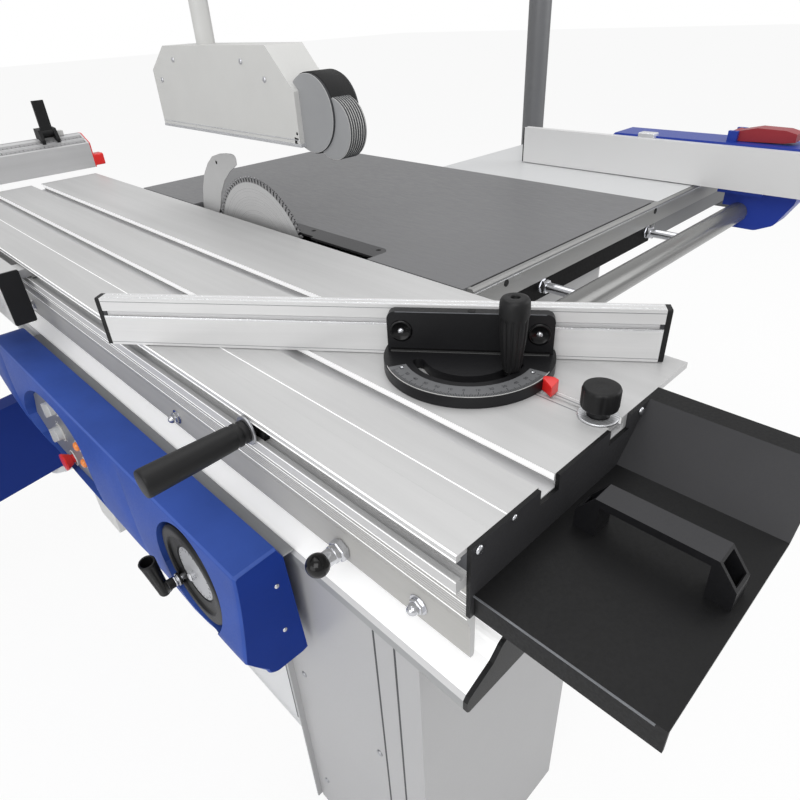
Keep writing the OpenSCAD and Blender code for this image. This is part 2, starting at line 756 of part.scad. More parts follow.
// Motor pulley with its shaft
module motor_pulley() {
    color(steel_grey) at_table() {
        rod_x(pulley_x, pulley_x + pulley_w, blade_y, motor_z, pulley_m);
        rod_x(pulley_x + pulley_w - 1, motor_x0 + 20, blade_y, motor_z, 14);
    }
}

// Hopper under the saw unit with the dust port through the rear wall
port_y1 = rear_y + 68;
module dust_chute() {
    y0 = 650;
    y1 = 1100;
    z0 = -790;
    z1 = -640;
    color(steel_grey) at_table() difference() {
        union() {
            block([chute_x - 150, y0, z0], [chute_x + 150, y1, z1]);
            rod_y(y1 - 1, rear_y + 2, chute_x, chute_z, port_r - 1);
            rod_y(rear_y + 1, port_y1, chute_x, chute_z, port_r);
            for (y = [y0 + 40, y1 - 60]) block([chute_x - 20, y, base_top], [chute_x + 20, y + 20, z0 + 1]);
        }
        block([chute_x - 150 + sheet, y0 + sheet, z0 + sheet], [chute_x + 150 - sheet, y1 - sheet, z1 + 1]);
        rod_y(y1 - 10, port_y1 + 1, chute_x, chute_z, port_r - 2.5);
    }
}

// A handwheel's rim, web and hub, drawn with its front towards -X at the origin
module wheel_form(shaft_l) {
    rim_t = 13;
    rotate([0, 90, 0]) difference() {
        union() {
            cylinder(r = wheel_r, h = rim_t);
            cylinder(r = 22, h = 22);
            cylinder(r = wheel_shaft_r, h = shaft_l);
        }
        translate([0, 0, -1]) cylinder(r = wheel_r - 17, h = 7);
        translate([0, 0, 8]) difference() {
            cylinder(r = wheel_r - 6, h = 10);
            cylinder(r = 22, h = 10);
        }
    }
}

// Handwheel of the rise, in the round recess, with its indicator and the crank's stud
wheel_x = cab_x - 75;
crank_y = wheel_y + 42;
crank_z = wheel_z - 34;
module rise_handwheel() {
    color(black) at_table() {
        translate([wheel_x, wheel_y, wheel_z]) {
            wheel_form(wheel_shaft_w());
            rotate([0, 90, 0]) cylinder(r = 40, h = 7);
        }
        rod_x(wheel_x - 12, wheel_x + 2, crank_y, crank_z, 5);
    }
}
function wheel_shaft_w() = 100;

// Folding crank with its grip
module crank_grip() {
    elbow = [crank_y + 22.6, crank_z - 24.6];
    grip_l = 62;
    x = wheel_x - 15;
    color(black) at_table() difference() {
        union() {
            rod_x(x - 4, wheel_x - 1, crank_y, crank_z, 9);
            translate([x - 4, 0, 0]) rotate([90, 0, 90]) linear_extrude(8) polygon([
                [crank_y - 6, crank_z - 5], [crank_y + 6, crank_z + 4],
                [elbow[0] + 6, elbow[1] + 4], [elbow[0] - 7, elbow[1] - 6]]);
            translate([x - 5, elbow[0], elbow[1]]) rotate([2.9, -7.9, 0]) {
                translate([0, 0, -8]) cylinder(r = 8, h = 9);
                cylinder(r1 = 8, r2 = 11, h = grip_l);
            }
        }
        translate([x - 5, elbow[0], elbow[1]]) rotate([2.9, -7.9, 0])
            translate([0, 0, grip_l - 22]) cylinder(r = 8, h = 24);
        rod_x(x - 20, wheel_x, crank_y, crank_z, 5 + run);
    }
}

// Handwheel of the tilt, on the front wall
tilt_y = cab_y - 62;
module tilt_handwheel() {
    color(black) at_table() translate([tilt_x, tilt_y, tilt_z]) rotate([0, 0, 90]) {
        wheel_form(90);
        translate([-30, wheel_r - 12, 0]) rotate([0, 90, 0]) cylinder(r = 9, h = 32);
    }
}

// Outline of the sliding table, with its slots and chambers
module slot_cut(x) {
    translate([x, -deck_t - 1]) square([slot_w, deck_t + 2]);
    translate([x - 6, -deck_t - slot_cav]) square([slot_w + 12, slot_cav]);
}
module slide_outline() {
    web = 5;
    chambers = [[20, slot1_x - 11, -deck_t], [slot1_x - 6, slot1_x + slot_w + 6, -deck_t - slot_cav - web],
        [slot1_x + slot_w + 11, slot2_x - 11, -deck_t], [slot2_x - 6, slot2_x + slot_w + 6, -deck_t - slot_cav - web],
        [slot2_x + slot_w + 11, body_x1 - web, -deck_t]];
    difference() {
        union() {
            translate([0, -deck_t]) square([slide_w, deck_t]);
            translate([face_x, -body_h]) square([body_x1 - face_x, body_h]);
            translate([0, -40]) square([face_x + 1, 13.5]);
            polygon([[face_x, -body_h + 1], [face_x, -80], [15, -88], [18, -97], [18, apron_z + 3],
                [19, apron_z], [23, apron_z], [24, apron_z + 3], [24, -body_h + 1]]);
            for (x = [leg_l, leg_r]) translate([x, leg_z]) square([leg_t, -leg_z - body_h + 1]);
        }
        for (x = [slot1_x, slot2_x]) slot_cut(x);
        for (c = chambers) translate([c[0], -body_h + 6]) square([c[1] - c[0], body_h - 6 + c[2]]);
        translate([5, -30]) square([face_x - 5, 25.5]);
        for (z = [-54, -66]) translate([face_x - 1, z]) square([2, 1.5]);
        translate([59, -1]) square([2, 2]);
    }
}
module sliding_table() {
    color(alu_grey) at_table() difference() {
        along_y(0, slide_l) slide_outline();
        rod_x(10, 30, plunger_y, plunger_z, 9 + run);
    }
}

// Black end plate folded into a tray, with a sloped side and a flat lip
tray_l = 158;
tray_z = -55;
tray_t = 3;
module end_tray() {
    end_x0 = 12;
    end_x1 = 308;
    floor_x1 = 234.5;
    slope_x1 = 284;
    color(black) at_table() {
        along_y(-4, 0) difference() {
            translate([end_x0, -body_h]) square([end_x1 - end_x0, body_h]);
            translate([slot1_x - 2, -deck_t - slot_cav - 1]) square([slot_w + 4, 20]);
            translate([slot2_x - 3, -deck_t - slot_cav - 1]) square([slot_w + 14, 20]);
        }
        along_y(-tray_l, -3) polygon([[end_x0 + 5, tray_z - 21], [end_x0 + 8, tray_z - 21],
            [end_x0 + 8, tray_z], [floor_x1, tray_z], [slope_x1, -tray_t], [end_x1, -tray_t], [end_x1, 0],
            [slope_x1 - 1.5, 0], [floor_x1 - 1.5, tray_z + tray_t], [end_x0 + 5, tray_z + tray_t]]);
    }
}

// Bridge handle on the tray: a thin grip on two feet, each hollow behind a sloped opening
module tray_handle() {
    x0 = 132.5;
    w = 25;
    span = 132;
    foot = 20;
    slope = 16.5;
    side = 19;
    wall = 3;
    top = -12 - tray_z - tray_t;
    under = top - 7.5;
    color(black) at_table() translate([0, -150, tray_z + tray_t]) difference() {
        along_x(x0, x0 + w) polygon([[0, 0], [foot, 0], [foot + 1, under], [span - foot - 1, under],
            [span - foot, 0], [span, 0], [span, side], [span - slope, top], [slope, top], [0, side]]);
        for (m = [0, 1]) translate([0, m * span, 0]) mirror([0, m, 0])
            along_x(x0 + wall, x0 + w - wall) polygon([[wall, wall], [foot - wall, wall],
                [foot - wall, top - 6], [slope - 5.5, top + 5], [-wall, side + 6], [wall, side + 1.5]]);
    }
}

// Push handle in the side slot
grip_y = 274;
grip_z = -17;
grip_l = 100;
module push_handle() {
    color(black) at_table() {
        block([5.6, grip_y - 14, -29], [face_x - slip, grip_y + 14, -5.5]);
        rod_x(-3, 6, grip_y, grip_z, 8);
        rod_x(-5, -slip, grip_y, grip_z, 17);
        rod_x(-12 - grip_l, -4.5, grip_y, grip_z, 14.5);
    }
}

// Spring plunger with a ball, through the apron
plunger_y = 165;
plunger_z = -121;
module lock_plunger() {
    color(black) at_table() {
        rod_x(-10, 44, plunger_y, plunger_z, 9);
        translate([-14, plunger_y, plunger_z]) rotate([0, 90, 0]) sphere(r = 12.5);
    }
}

// Roller cage between the beam's rib and the sliding table's legs
cage_l = 900;
cage_y0 = (slide_l - cage_l) / 2;
module roller_cage() {
    left_mid = (leg_l + leg_t + rib_x0) / 2;
    right_mid = (rib_x1 + leg_r) / 2;
    roller_r = (rib_x0 - leg_l - leg_t) / 2 - 0.3;
    color(bright_alu) at_table() {
        for (x = [left_mid, right_mid]) {
            block([x - 5, cage_y0, -134], [x + 5, cage_y0 + cage_l, -92]);
            for (i = [0:6]) rod_z(-130, -110, x, cage_y0 + 60 + i * (cage_l - 120) / 6, roller_r);
        }
        block([left_mid - 5, cage_y0, -96], [right_mid + 5, cage_y0 + cage_l, -90]);
    }
}

// Outrigger: two rails along the feed, three cross tubes, and the clamp in the side slot
out_x0 = -768;
out_x1 = -16;
out_y0 = 940;
out_y1 = 1640;
out_w = 34;
out_h = 90;
module outrigger_frame() {
    color(bright_alu) at_table() difference() {
        union() {
            for (x = [out_x0, out_x1 - out_w]) block([x, out_y0, -out_h], [x + out_w, out_y1, 0]);
            for (y = [out_y0 + 20, (out_y0 + out_y1) / 2 - 20, out_y1 - 60])
                block([out_x0 + out_w - 1, y, -60], [out_x1 - out_w + 1, y + 40, 0]);
            for (y = [out_y0 + 25, out_y1 - 65]) {
                block([out_x1 - 1, y, -24], [4, y + 40, -10]);
                block([6, y, -27.5], [face_x - slip, y + 40, -6]);
                block([3, y, -24], [7, y + 40, -10]);
            }
        }
        rod_z(-30, 1, out_x1 - out_w / 2, cross_py, cross_pin_r + run);
    }
}

// Crosscut fence: a hollow profile on a pivot pin
cross_y = 1606;
cross_x1 = slide_w + 8;
cross_z0 = 14;
cross_h = 81;
cross_py = 1624;
cross_pin_r = 8;
cross_w = 60;
module crosscut_fence() {
    y1 = cross_y + cross_w;
    color(alu_grey) at_table() {
        difference() {
            along_x(cross_x1 - cross_l, cross_x1) difference() {
                polygon([[cross_y, cross_z0], [y1, cross_z0], [y1, cross_z0 + cross_h],
                    [cross_y + 44, cross_z0 + cross_h], [cross_y, cross_z0 + 60]]);
                translate([cross_y + 5, cross_z0 + 5]) square([cross_w - 10, 44]);
            }
            block([cross_x1 - cross_l + 20, cross_y + 47, cross_z0 + cross_h - 5],
                [cross_x1 - 4, cross_y + 54, cross_z0 + cross_h + 1]);
        }
        rod_z(-29, cross_z0 + 1, out_x1 - out_w / 2, cross_py, cross_pin_r);
        rod_z(0.5, cross_z0 + 1, out_x1 - out_w / 2, cross_py, 15);
    }
}

// Inner profile that pulls out of the fence's left end
module fence_extension() {
    x0 = cross_x1 - cross_l - 100;
    color(bright_alu) at_table() {
        block([x0, cross_y + 5 + slip, cross_z0 + 5 + slip], [x0 + 640, cross_y + cross_w - 5 - slip, cross_z0 + 49 - slip]);
        block([x0 - 6, cross_y + 1, cross_z0 + 2], [x0 + 0.1, cross_y + cross_w - 2, cross_z0 + 56]);
    }
}

// Length stop: a carrier in the fence's slot and a flap that swings down over the face
stop_x = 278;
stop_w = 44;
flap_y = cross_y + 33;
flap_z = cross_z0 + cross_h + 14;
module stop_carrier() {
    top = cross_z0 + cross_h;
    y0 = cross_y + 47;
    color(black) at_table() {
        block([stop_x, y0 + slip, top - 4], [stop_x + stop_w, y0 + 7 - slip, top + 1]);
        along_x(stop_x, stop_x + stop_w) polygon([[y0 + 12, top + slip], [y0 + 12, top + 24],
            [y0 - 2, top + 24], [y0 - 2, top + slip]]);
        for (x = [stop_x, stop_x + stop_w - 8]) along_x(x, x + 8)
            polygon([[y0, top + slip], [y0, top + 24], [flap_y - 6, top + 22], [flap_y - 16, top - 2],
                [flap_y - 14, top - 11.5], [y0 - 3, top + slip]]);
        rod_x(stop_x, stop_x + stop_w, flap_y, flap_z, 3);
    }
}
module stop_flap() {
    x0 = stop_x + 8 + slip;
    x1 = stop_x + stop_w - 8 - slip;
    color(black) at_table() difference() {
        union() {
            rod_x(x0, x1, flap_y, flap_z, 8);
            block([x0, flap_y - 6, flap_z], [x1, flap_y + 2, flap_z + 74]);
        }
        rod_x(x0 - 1, x1 + 1, flap_y, flap_z, 3 + run);
    }
}

// Moves a child to the swing arm's pivot, with its length along +X
module at_arm() {
    at_table() translate([arm_px, arm_py, 0]) rotate([0, 0, arm_a]) children();
}
module swing_arm() {
    wall = 4;
    color(deep_blue) at_arm() difference() {
        union() {
            block([0, -arm_w / 2, arm_z0], [arm_l, arm_w / 2, arm_z1]);
            rod_z(arm_z0, arm_z1, 0, 0, arm_w / 2);
            rod_z(arm_z0 - 17, arm_z1 + 17, 0, 0, arm_pin_r);
        }
        block([60, -arm_w / 2 + wall, arm_z0 + wall], [arm_l + 1, arm_w / 2 - wall, arm_z1 - wall]);
    }
}

// Tube that slides out of the arm and carries the outrigger on its post
tube_l = 460;
tube_s0 = 310;
module support_tube() {
    half = arm_w / 2 - 4 - slip;
    color(steel_grey) at_arm() {
        block([tube_s0, -half, arm_z0 + 4 + slip], [tube_s0 + tube_l, half, arm_z1 - 4 - slip]);
        rod_z(arm_z1 - 6, -out_h - 0.5, tube_s0 + tube_l - 30, 0, half);
    }
}

// Rip fence casting: a body behind the plate and a hook round the rail
rip_x = 1085;
rip_t = 16;
rip_z0 = 2;
body_x = rip_x + rip_t + 0.5;
module rip_casting() {
    w = 78;
    hook_x = body_x + 28;
    color(machine_blue) at_table() difference() {
        union() {
            along_x(body_x, body_x + w) polygon([[60, 3], [520, 3], [520, rip_h - 14], [500, rip_h + 6],
                [70, rip_h + 6], [60, rip_h - 4]]);
            along_x(hook_x, body_x + w + 4) polygon(concat([[256, 4], [122, 4], [126, -20]],
                arc([164, -52], 17, 215, 240, 2), arc([190, -55], 25, 250, 270, 3),
                arc([236, -60], 20, 270, 360, 5)));
            block([body_x, 178, -8], [body_x + w, 262, 10]);
            for (x = [body_x + 14, body_x + 22 + 36 + slip])
                block([x, lever_y - 9, rip_h], [x + 8 - slip, lever_y + 9, lever_z + 9]);
            rod_x(body_x + 14, body_x + 66, lever_y, lever_z, lever_pin_r);
        }
        rod_x(body_x - 20, body_x + 120, rail_y, rail_z, rail_r + run);
        block([body_x - 20, rail_y, rail_z - 12], [body_x + 120, 270, rail_z + 12]);
        rod_y(55, 100, body_x + w / 2, 60, 8 + run);
        for (z = [25, 55]) block([body_x - 1, 80, z], [body_x + 6, 500, z + 5]);
    }
}

// Rip fence plate: a hollow profile that slides along the casting
module rip_plate() {
    color(alu_grey) at_table() difference() {
        along_y(0, rip_l) difference() {
            translate([rip_x, rip_z0]) square([rip_t, rip_h]);
            translate([rip_x + 3, rip_z0 + 4]) square([rip_t - 6, 22]);
            translate([rip_x + 3, rip_z0 + 30]) square([rip_t - 6, 18]);
            translate([rip_x + 3, rip_z0 + 52]) square([rip_t - 6, rip_h - 56]);
            translate([rip_x + rip_t - 4, rip_z0 + 36]) square([5, 6]);
        }
    }
}

// Red clamping lever on the casting, on a cross pin at its far end
lever_y = 262;
lever_z = rip_h + 16;
lever_pin_r = 4;
module rip_lever() {
    x0 = body_x + 22;
    color(signal_red) at_table() difference() {
        along_x(x0, x0 + 36) polygon(concat(
            arc([lever_y, lever_z], 9.4, -60, 120, 6),
            [[lever_y - 40, lever_z + 16], [172, lever_z + 15], [152, lever_z + 10], [152, lever_z - 4],
            [172, lever_z - 7], [lever_y - 14, lever_z - 9.4]]));
        rod_x(x0 - 1, x0 + 37, lever_y, lever_z, lever_pin_r + run);
    }
}

// Mitre gauge: moves a child to its pivot, and turns it to the fence's angle
mitre_y = 176;
arc_r = 57;
head_w = 176;
fence_off = 13.6;
module at_mitre() {
    at_table() translate([slot_mid, mitre_y, 0]) children();
}
module at_fence() {
    at_mitre() rotate([0, 0, mitre_a]) children();
}
bar_z = -slip;
knob_y = 18;
module mitre_bar() {
    w = slot_w - 0.6;
    color(bright_alu) at_mitre() difference() {
        union() {
            block([-w / 2, -mitre_y + 3, bar_z - 8.5], [w / 2, 150, bar_z]);
            rod_z(bar_z - 1, 12, 0, 0, 6);
        }
        block([-3, -mitre_y + 2, bar_z - 2], [3, -12, bar_z + 1]);
        rod_z(-20, 1, 0, -arc_r, 4.5 + run);
        rod_z(-20, 1, 0, -mitre_y + knob_y, 4 + run);
    }
}

// Mitre head: half-round base with an arc slot, and an upright plate behind the fence
base_h = 12;
module mitre_head() {
    z0 = 0.4;
    plate_t = 12;
    color(black) at_fence() difference() {
        union() {
            translate([0, 0, z0]) linear_extrude(base_h) intersection() {
                circle(r = mitre_r, $fn = 128);
                translate([-mitre_r, -mitre_r]) square([2 * mitre_r, mitre_r + fence_off]);
            }
            translate([0, fence_off, z0]) rotate([90, 0, 0]) linear_extrude(plate_t)
                polygon(round_box([-head_w / 2, 0], [head_w / 2, mitre_h - 2], 12));
            translate([-head_w / 2, fence_off - plate_t - 1, z0]) cube([head_w, plate_t, base_h]);
        }
        translate([0, 0, -1]) cylinder(r = 6 + run, h = 30);
        translate([0, 0, -1]) linear_extrude(30) difference() {
            circle(r = arc_r + 6.5, $fn = 96);
            circle(r = arc_r - 6.5, $fn = 96);
            polygon(concat([[0, 0]], arc([0, 0], 90, -24, 204, 24)));
        }
        for (x = [-74, 74]) translate([x, fence_off + 1, 36]) rotate([90, 0, 0]) cylinder(r = 4, h = 20);
    }
}

// Mitre fence: a grooved bar along the head's face
module mitre_fence() {
    t = 16;
    left = -436;
    color(alu_grey) at_fence() translate([left, fence_off + slip, 1]) rotate([90, 0, 90])
        linear_extrude(mitre_l) difference() {
            square([t, mitre_h]);
            translate([-1, 38]) square([5, 6]);
            translate([3, 35]) square([4, 12]);
            translate([3, 4]) square([t - 6, 27]);
            translate([5, 50]) square([t - 8, 6]);
        }
}

// Tall grip that clamps the head to the bar
module mitre_grip() {
    color(black) at_mitre() translate([0, -arc_r, 0]) {
        translate([0, 0, -6]) cylinder(r = 4.5, h = 24);
        translate([0, 0, 13]) cylinder(r1 = 10, r2 = 14.5, h = 34);
        translate([0, 0, 46.9]) cylinder(r = 14.5, h = 40);
        translate([0, 0, 86.8]) cylinder(r1 = 14.5, r2 = 11.5, h = 6);
    }
}

// Round knob on a washer, at the operator's end of the bar
module mitre_knob() {
    color(black) at_mitre() translate([0, -mitre_y + knob_y, 0]) {
        translate([0, 0, -6]) cylinder(r = 4, h = 20);
        translate([0, 0, 0.3]) cylinder(r = 19.5, h = 2.2);
        translate([0, 0, 2.4]) cylinder(r = 11, h = 8);
        translate([0, 0, 10.3]) cylinder(r = 18, h = 23);
    }
}

// Boom on the guard's post, with a sleeve over the blade
mast_r = 16;
mast_y = post_y;
module guard_boom() {
    color(pale_grey) at_table() difference() {
        union() {
            block([bx, mast_y - 22, boom_z0 + 6], [post_x, mast_y + 22, boom_z1 - 2]);
            rod_z(boom_z0 + slip, boom_z1 + 4, post_x, post_y, 44);
            rod_z(boom_z0, boom_z1 + 4, bx, mast_y, 30);
        }
        rod_z(boom_z0 - 1, boom_z1 + slip, post_x, post_y, post_pin_r + run);
        rod_z(boom_z0 - 1, boom_z1 + 5, bx, mast_y, mast_r + run);
    }
}

// Guard hood: an open-bottomed hood on a mast, with a round nose and a ribbed drum beside it
hood_w = 70;
hood_y0 = 628;
hood_y1 = 1076;
hood_z0 = 159;
hood_z1 = 296;
module guard_hood() {
    nose_y = 607;
    nose_z = 206;
    drum_y = 565;
    drum_z = 188;
    color(alu_grey) at_table() {
        difference() {
            along_x(bx - hood_w / 2, bx + hood_w / 2) polygon([[hood_y0, hood_z0], [hood_y1, hood_z0],
                [hood_y1, hood_z1 - 40], [hood_y1 - 60, hood_z1], [hood_y0 + 60, hood_z1], [hood_y0, hood_z1 - 60]]);
            along_x(bx - hood_w / 2 + sheet, bx + hood_w / 2 - sheet) polygon([[hood_y0 + sheet, hood_z0 - 1],
                [hood_y1 - sheet, hood_z0 - 1], [hood_y1 - sheet, hood_z1 - 42], [hood_y1 - 62, hood_z1 - sheet],
                [hood_y0 + 62, hood_z1 - sheet], [hood_y0 + sheet, hood_z1 - 62]]);
        }
        rod_x(bx - 26, bx + 26, nose_y, nose_z, 54);
        rod_x(bx - 21, bx + 10, drum_y, drum_z, 43);
        rod_z(hood_z1 - sheet, 650, bx, mast_y, mast_r);
    }
}

base_plate();
cabinet_left();
cabinet_right();
cabinet_front();
cabinet_rear();
service_door();
fixed_table();
table_insert();
extension_table();
extension_frame();
front_rail();
rail_bracket();
round_rail();
rail_studs();
guide_beam();
beam_end_caps();
control_housing();
switch_plate();
trunnion_cradles();
dust_chute();
trunnions();
saw_carriage();
riving_knife();
motor();
drive_belt();
blade_shroud();
arbor_shaft();
saw_blade();
clamp_flanges();
motor_pulley();
rise_handwheel();
crank_grip();
tilt_handwheel();
sliding_table();
end_tray();
tray_handle();
push_handle();
lock_plunger();
roller_cage();
outrigger_frame();
crosscut_fence();
fence_extension();
stop_carrier();
stop_flap();
swing_arm();
support_tube();
rip_casting();
rip_plate();
rip_lever();
mitre_bar();
mitre_head();
mitre_fence();
mitre_grip();
mitre_knob();
guard_boom();
guard_hood();
stop_button();
speed_knob();
mode_knob();
start_switch();
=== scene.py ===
from math import asin, cos, degrees, pi, radians, sin, sqrt

import bmesh
import bpy
from mathutils import Euler, Matrix, Vector
from mathutils.geometry import tessellate_polygon

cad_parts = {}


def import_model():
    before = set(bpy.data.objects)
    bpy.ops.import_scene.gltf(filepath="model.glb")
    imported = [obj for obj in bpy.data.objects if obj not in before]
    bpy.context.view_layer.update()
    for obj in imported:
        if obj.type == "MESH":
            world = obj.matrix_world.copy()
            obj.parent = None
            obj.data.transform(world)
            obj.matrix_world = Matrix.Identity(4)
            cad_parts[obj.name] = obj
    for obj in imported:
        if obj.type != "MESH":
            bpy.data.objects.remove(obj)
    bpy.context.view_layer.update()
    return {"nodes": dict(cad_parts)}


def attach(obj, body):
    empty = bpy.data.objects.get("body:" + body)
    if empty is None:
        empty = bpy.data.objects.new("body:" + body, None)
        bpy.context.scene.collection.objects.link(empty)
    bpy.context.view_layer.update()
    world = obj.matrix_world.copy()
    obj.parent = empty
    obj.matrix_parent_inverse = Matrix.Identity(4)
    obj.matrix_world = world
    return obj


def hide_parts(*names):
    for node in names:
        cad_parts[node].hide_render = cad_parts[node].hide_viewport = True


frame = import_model()

# The table's frame: millimetres from the sliding table's outer operator-end top corner
TABLE_ORIGIN = (393.0, 790.0, -860.0)
RIGHT = (1, 0, 0)
LEFT = (-1, 0, 0)
AWAY = (0, 1, 0)
NEAR = (0, -1, 0)
UP = (0, 0, 1)
TINY = 1e-6


def at(x, y, z):
    """A point of the table's frame in the row frame, in metres."""
    return Vector(((x - TABLE_ORIGIN[0]) / 1000, (y - TABLE_ORIGIN[1]) / 1000, (z - TABLE_ORIGIN[2]) / 1000))


def add(name, data):
    """A new object in the scene."""
    o = bpy.data.objects.new(name, data)
    bpy.context.scene.collection.objects.link(o)
    return o


def worked_out(o):
    """The mesh of an object after its modifiers, or of a text."""
    bpy.context.view_layer.update()
    return bpy.data.meshes.new_from_object(o.evaluated_get(bpy.context.evaluated_depsgraph_get()))


def rgb(r, g, b):
    """A colour written as 0 to 255 on screen, as linear light."""
    out = []
    for c in (r, g, b):
        c = c / 255
        out.append(c / 12.92 if c <= 0.04045 else ((c + 0.055) / 1.055) ** 2.4)
    return (out[0], out[1], out[2], 1.0)


# Finishes
M = {}


def feed(tree, n, inputs):
    """Sets the inputs of a node, or links them to the outputs of others."""
    for key, value in inputs.items():
        if isinstance(value, bpy.types.NodeSocket):
            tree.links.new(value, n.inputs[key])
        else:
            n.inputs[key].default_value = value


def node(tree, kind, inputs=None, **settings):
    n = tree.nodes.new(kind)
    for key, value in settings.items():
        setattr(n, key, value)
    feed(tree, n, inputs or {})
    return n


def noise(tree, vector, scale, detail=3, rough=0.55):
    """Cloudy noise from 0 to 1 at a scale."""
    inputs = {"Vector": vector, "Scale": scale, "Detail": detail, "Roughness": rough}
    return node(tree, "ShaderNodeTexNoise", inputs).outputs["Fac"]


def ramp(tree, value, low, high, out_low, out_high):
    """A value stretched from one range to another, and held at its ends."""
    inputs = {"Value": value, "From Min": low, "From Max": high, "To Min": out_low, "To Max": out_high}
    return node(tree, "ShaderNodeMapRange", inputs).outputs["Result"]


def blend(tree, value, a, b):
    """From one colour to the other as the value goes from 0 to 1."""
    return node(tree, "ShaderNodeMix", {0: value, 6: a, 7: b}, data_type="RGBA").outputs[2]


def shade(colour, k):
    return (min(1.0, colour[0] * k), min(1.0, colour[1] * k), min(1.0, colour[2] * k), 1.0)


def new_finish(name):
    """A new finish, its node tree, its main node and the place on the piece."""
    m = bpy.data.materials.new(name)
    m.use_nodes = True
    t = m.node_tree
    M[name] = m
    return t, t.nodes["Principled BSDF"], node(t, "ShaderNodeTexCoord").outputs["Object"]


def emboss(t, p, height, strength, depth):
    """Fine relief, of a depth in millimetres."""
    inputs = {"Height": height, "Strength": strength, "Distance": depth / 1000}
    feed(t, p, {"Normal": node(t, "ShaderNodeBump", inputs).outputs["Normal"]})


def finish(name, shown, rough, metal, tone, tone_scale, spread, grain, bump, depth=0.2, stretch=(1, 1, 1),
           coat=0.0, specks=0.0, speck_scale=900.0, level=0.5, turn=0.0, glow=0.0, streak=0.0):
    """A finish with drifting tone, uneven roughness and fine relief. stretch draws the grain out along an
    axis, turn swings that axis by an angle in degrees, glow lifts a glint that no lamp reaches, specks are
    the dark dots of cast metal, and streak darkens long bands along the grain."""
    t, p, where = new_finish(name)
    colour = rgb(*shown)
    mapped = node(t, "ShaderNodeMapping", {"Vector": where, "Scale": stretch})
    if turn:
        mapped.vector_type = "TEXTURE"
        feed(t, mapped, {"Scale": tuple(1 / k for k in stretch), "Rotation": (0, 0, radians(turn))})
    drawn = mapped.outputs["Vector"]
    fine = noise(t, drawn, grain, 3, 0.6)
    drift = ramp(t, noise(t, where, tone_scale, 4), 0.3, 0.7, 0, 1)
    base = blend(t, drift, shade(colour, 1 - tone), shade(colour, 1 + tone))
    base = blend(t, ramp(t, fine, 0.3, 0.7, 0, 0.5), base, shade(colour, 1 + tone * 0.6))
    if streak:
        bands = ramp(t, noise(t, drawn, 38, 5, 0.6), 0.38, 0.66, 0, streak)
        base = blend(t, bands, base, shade(colour, 0.72))
    if specks:
        dots = ramp(t, noise(t, where, speck_scale, 2, 0.7), 0.62, 0.72, 0, specks)
        base = blend(t, dots, base, shade(colour, 0.45))
    uneven = ramp(t, fine, 0.25, 0.75, max(0.02, rough - spread), min(1, rough + spread))
    feed(t, p, {"Base Color": base, "Metallic": metal, "Specular IOR Level": level, "Roughness": uneven,
                "Coat Weight": coat, "Coat Roughness": 0.12})
    emboss(t, p, fine, bump, depth)
    if glow:
        feed(t, p, {"Emission Color": colour, "Emission Strength": glow})


ALONG_X = (0.03, 1, 1)
ALONG_Y = (1, 0.03, 1)
FENCE_ANGLE = -53.6

# Colour on screen, roughness, metal, tone drift, its scale, roughness spread, grain, relief, its depth in mm
finish("satin_alu", (200, 200, 200), 0.44, 0.14, 0.045, 2.5, 0.05, 700, 0.05, stretch=ALONG_Y, streak=0.3)
# The table's aluminium, darker for its lower side faces: painted shade
finish("apron_painted_shade", (174, 173, 170), 0.5, 0, 0.06, 6, 0.05, 420, 0.08, stretch=ALONG_Y, streak=0.35)
# A lighter grey on slot floors, grooves, fine ridges and the beam's lower faces: painted light against their
# shade
finish("slot_grey", (206, 206, 207), 0.5, 0, 0.04, 6, 0.05, 420, 0.06, stretch=ALONG_Y)
# Near-white strips that glow: painted highlights along bright edges
finish("white_edge", (250, 250, 250), 0.4, 0, 0.01, 6, 0.05, 420, 0.02, 0.1, ALONG_Y,
       glow=0.3)
# Light aluminium on rounded edges and thin strips: a painted highlight
finish("edge_alu", (238, 239, 241), 0.25, 0.6, 0.03, 6, 0.05, 700, 0.04, stretch=ALONG_Y)
# Darker aluminium for thin flat strips: painted shade standing for grooves
finish("groove_alu", (132, 133, 136), 0.45, 0.5, 0.06, 8, 0.06, 500, 0.1, stretch=ALONG_Y)
finish("bright_alu", (214, 215, 218), 0.28, 0.7, 0.03, 4, 0.06, 600, 0.06, stretch=ALONG_Y)
finish("beam_alu", (228, 229, 231), 0.32, 0.45, 0.03, 3, 0.05, 500, 0.05, stretch=ALONG_Y)
# Lit and shaded copies of the beam's aluminium: a near-white top that glows, painted light, and a grey side,
# painted shade
finish("beam_top_painted_light", (246, 246, 246), 0.45, 0, 0.015, 3, 0.05, 420, 0.04, stretch=ALONG_Y, glow=0.3)
finish("beam_side", (152, 153, 154), 0.45, 0.05, 0.05, 3, 0.05, 420, 0.06, stretch=ALONG_Y)
finish("fence_alu", (194, 194, 195), 0.4, 0.3, 0.05, 5, 0.06, 420, 0.08, stretch=ALONG_X, streak=0.25)
finish("gauge_alu", (222, 222, 222), 0.4, 0.15, 0.06, 5, 0.07, 420, 0.1, stretch=ALONG_X, turn=FENCE_ANGLE,
       streak=0.3)
finish("plate_alu", (226, 226, 226), 0.42, 0.15, 0.02, 3, 0.04, 500, 0.02)
finish("rail_alu", (150, 150, 149), 0.4, 0.4, 0.04, 4, 0.05, 600, 0.06, stretch=ALONG_X)
finish("cast_iron", (124, 124, 126), 0.42, 0.4, 0.06, 3, 0.07, 260, 0.12,
       stretch=(1, 0.15, 1), specks=0.35, speck_scale=520)
finish("cast_raw", (96, 97, 99), 0.7, 0.3, 0.12, 14, 0.08, 240, 0.6, 0.6, specks=0.3)
finish("dark_steel", (72, 72, 74), 0.36, 0.7, 0.08, 12, 0.08, 500, 0.15)
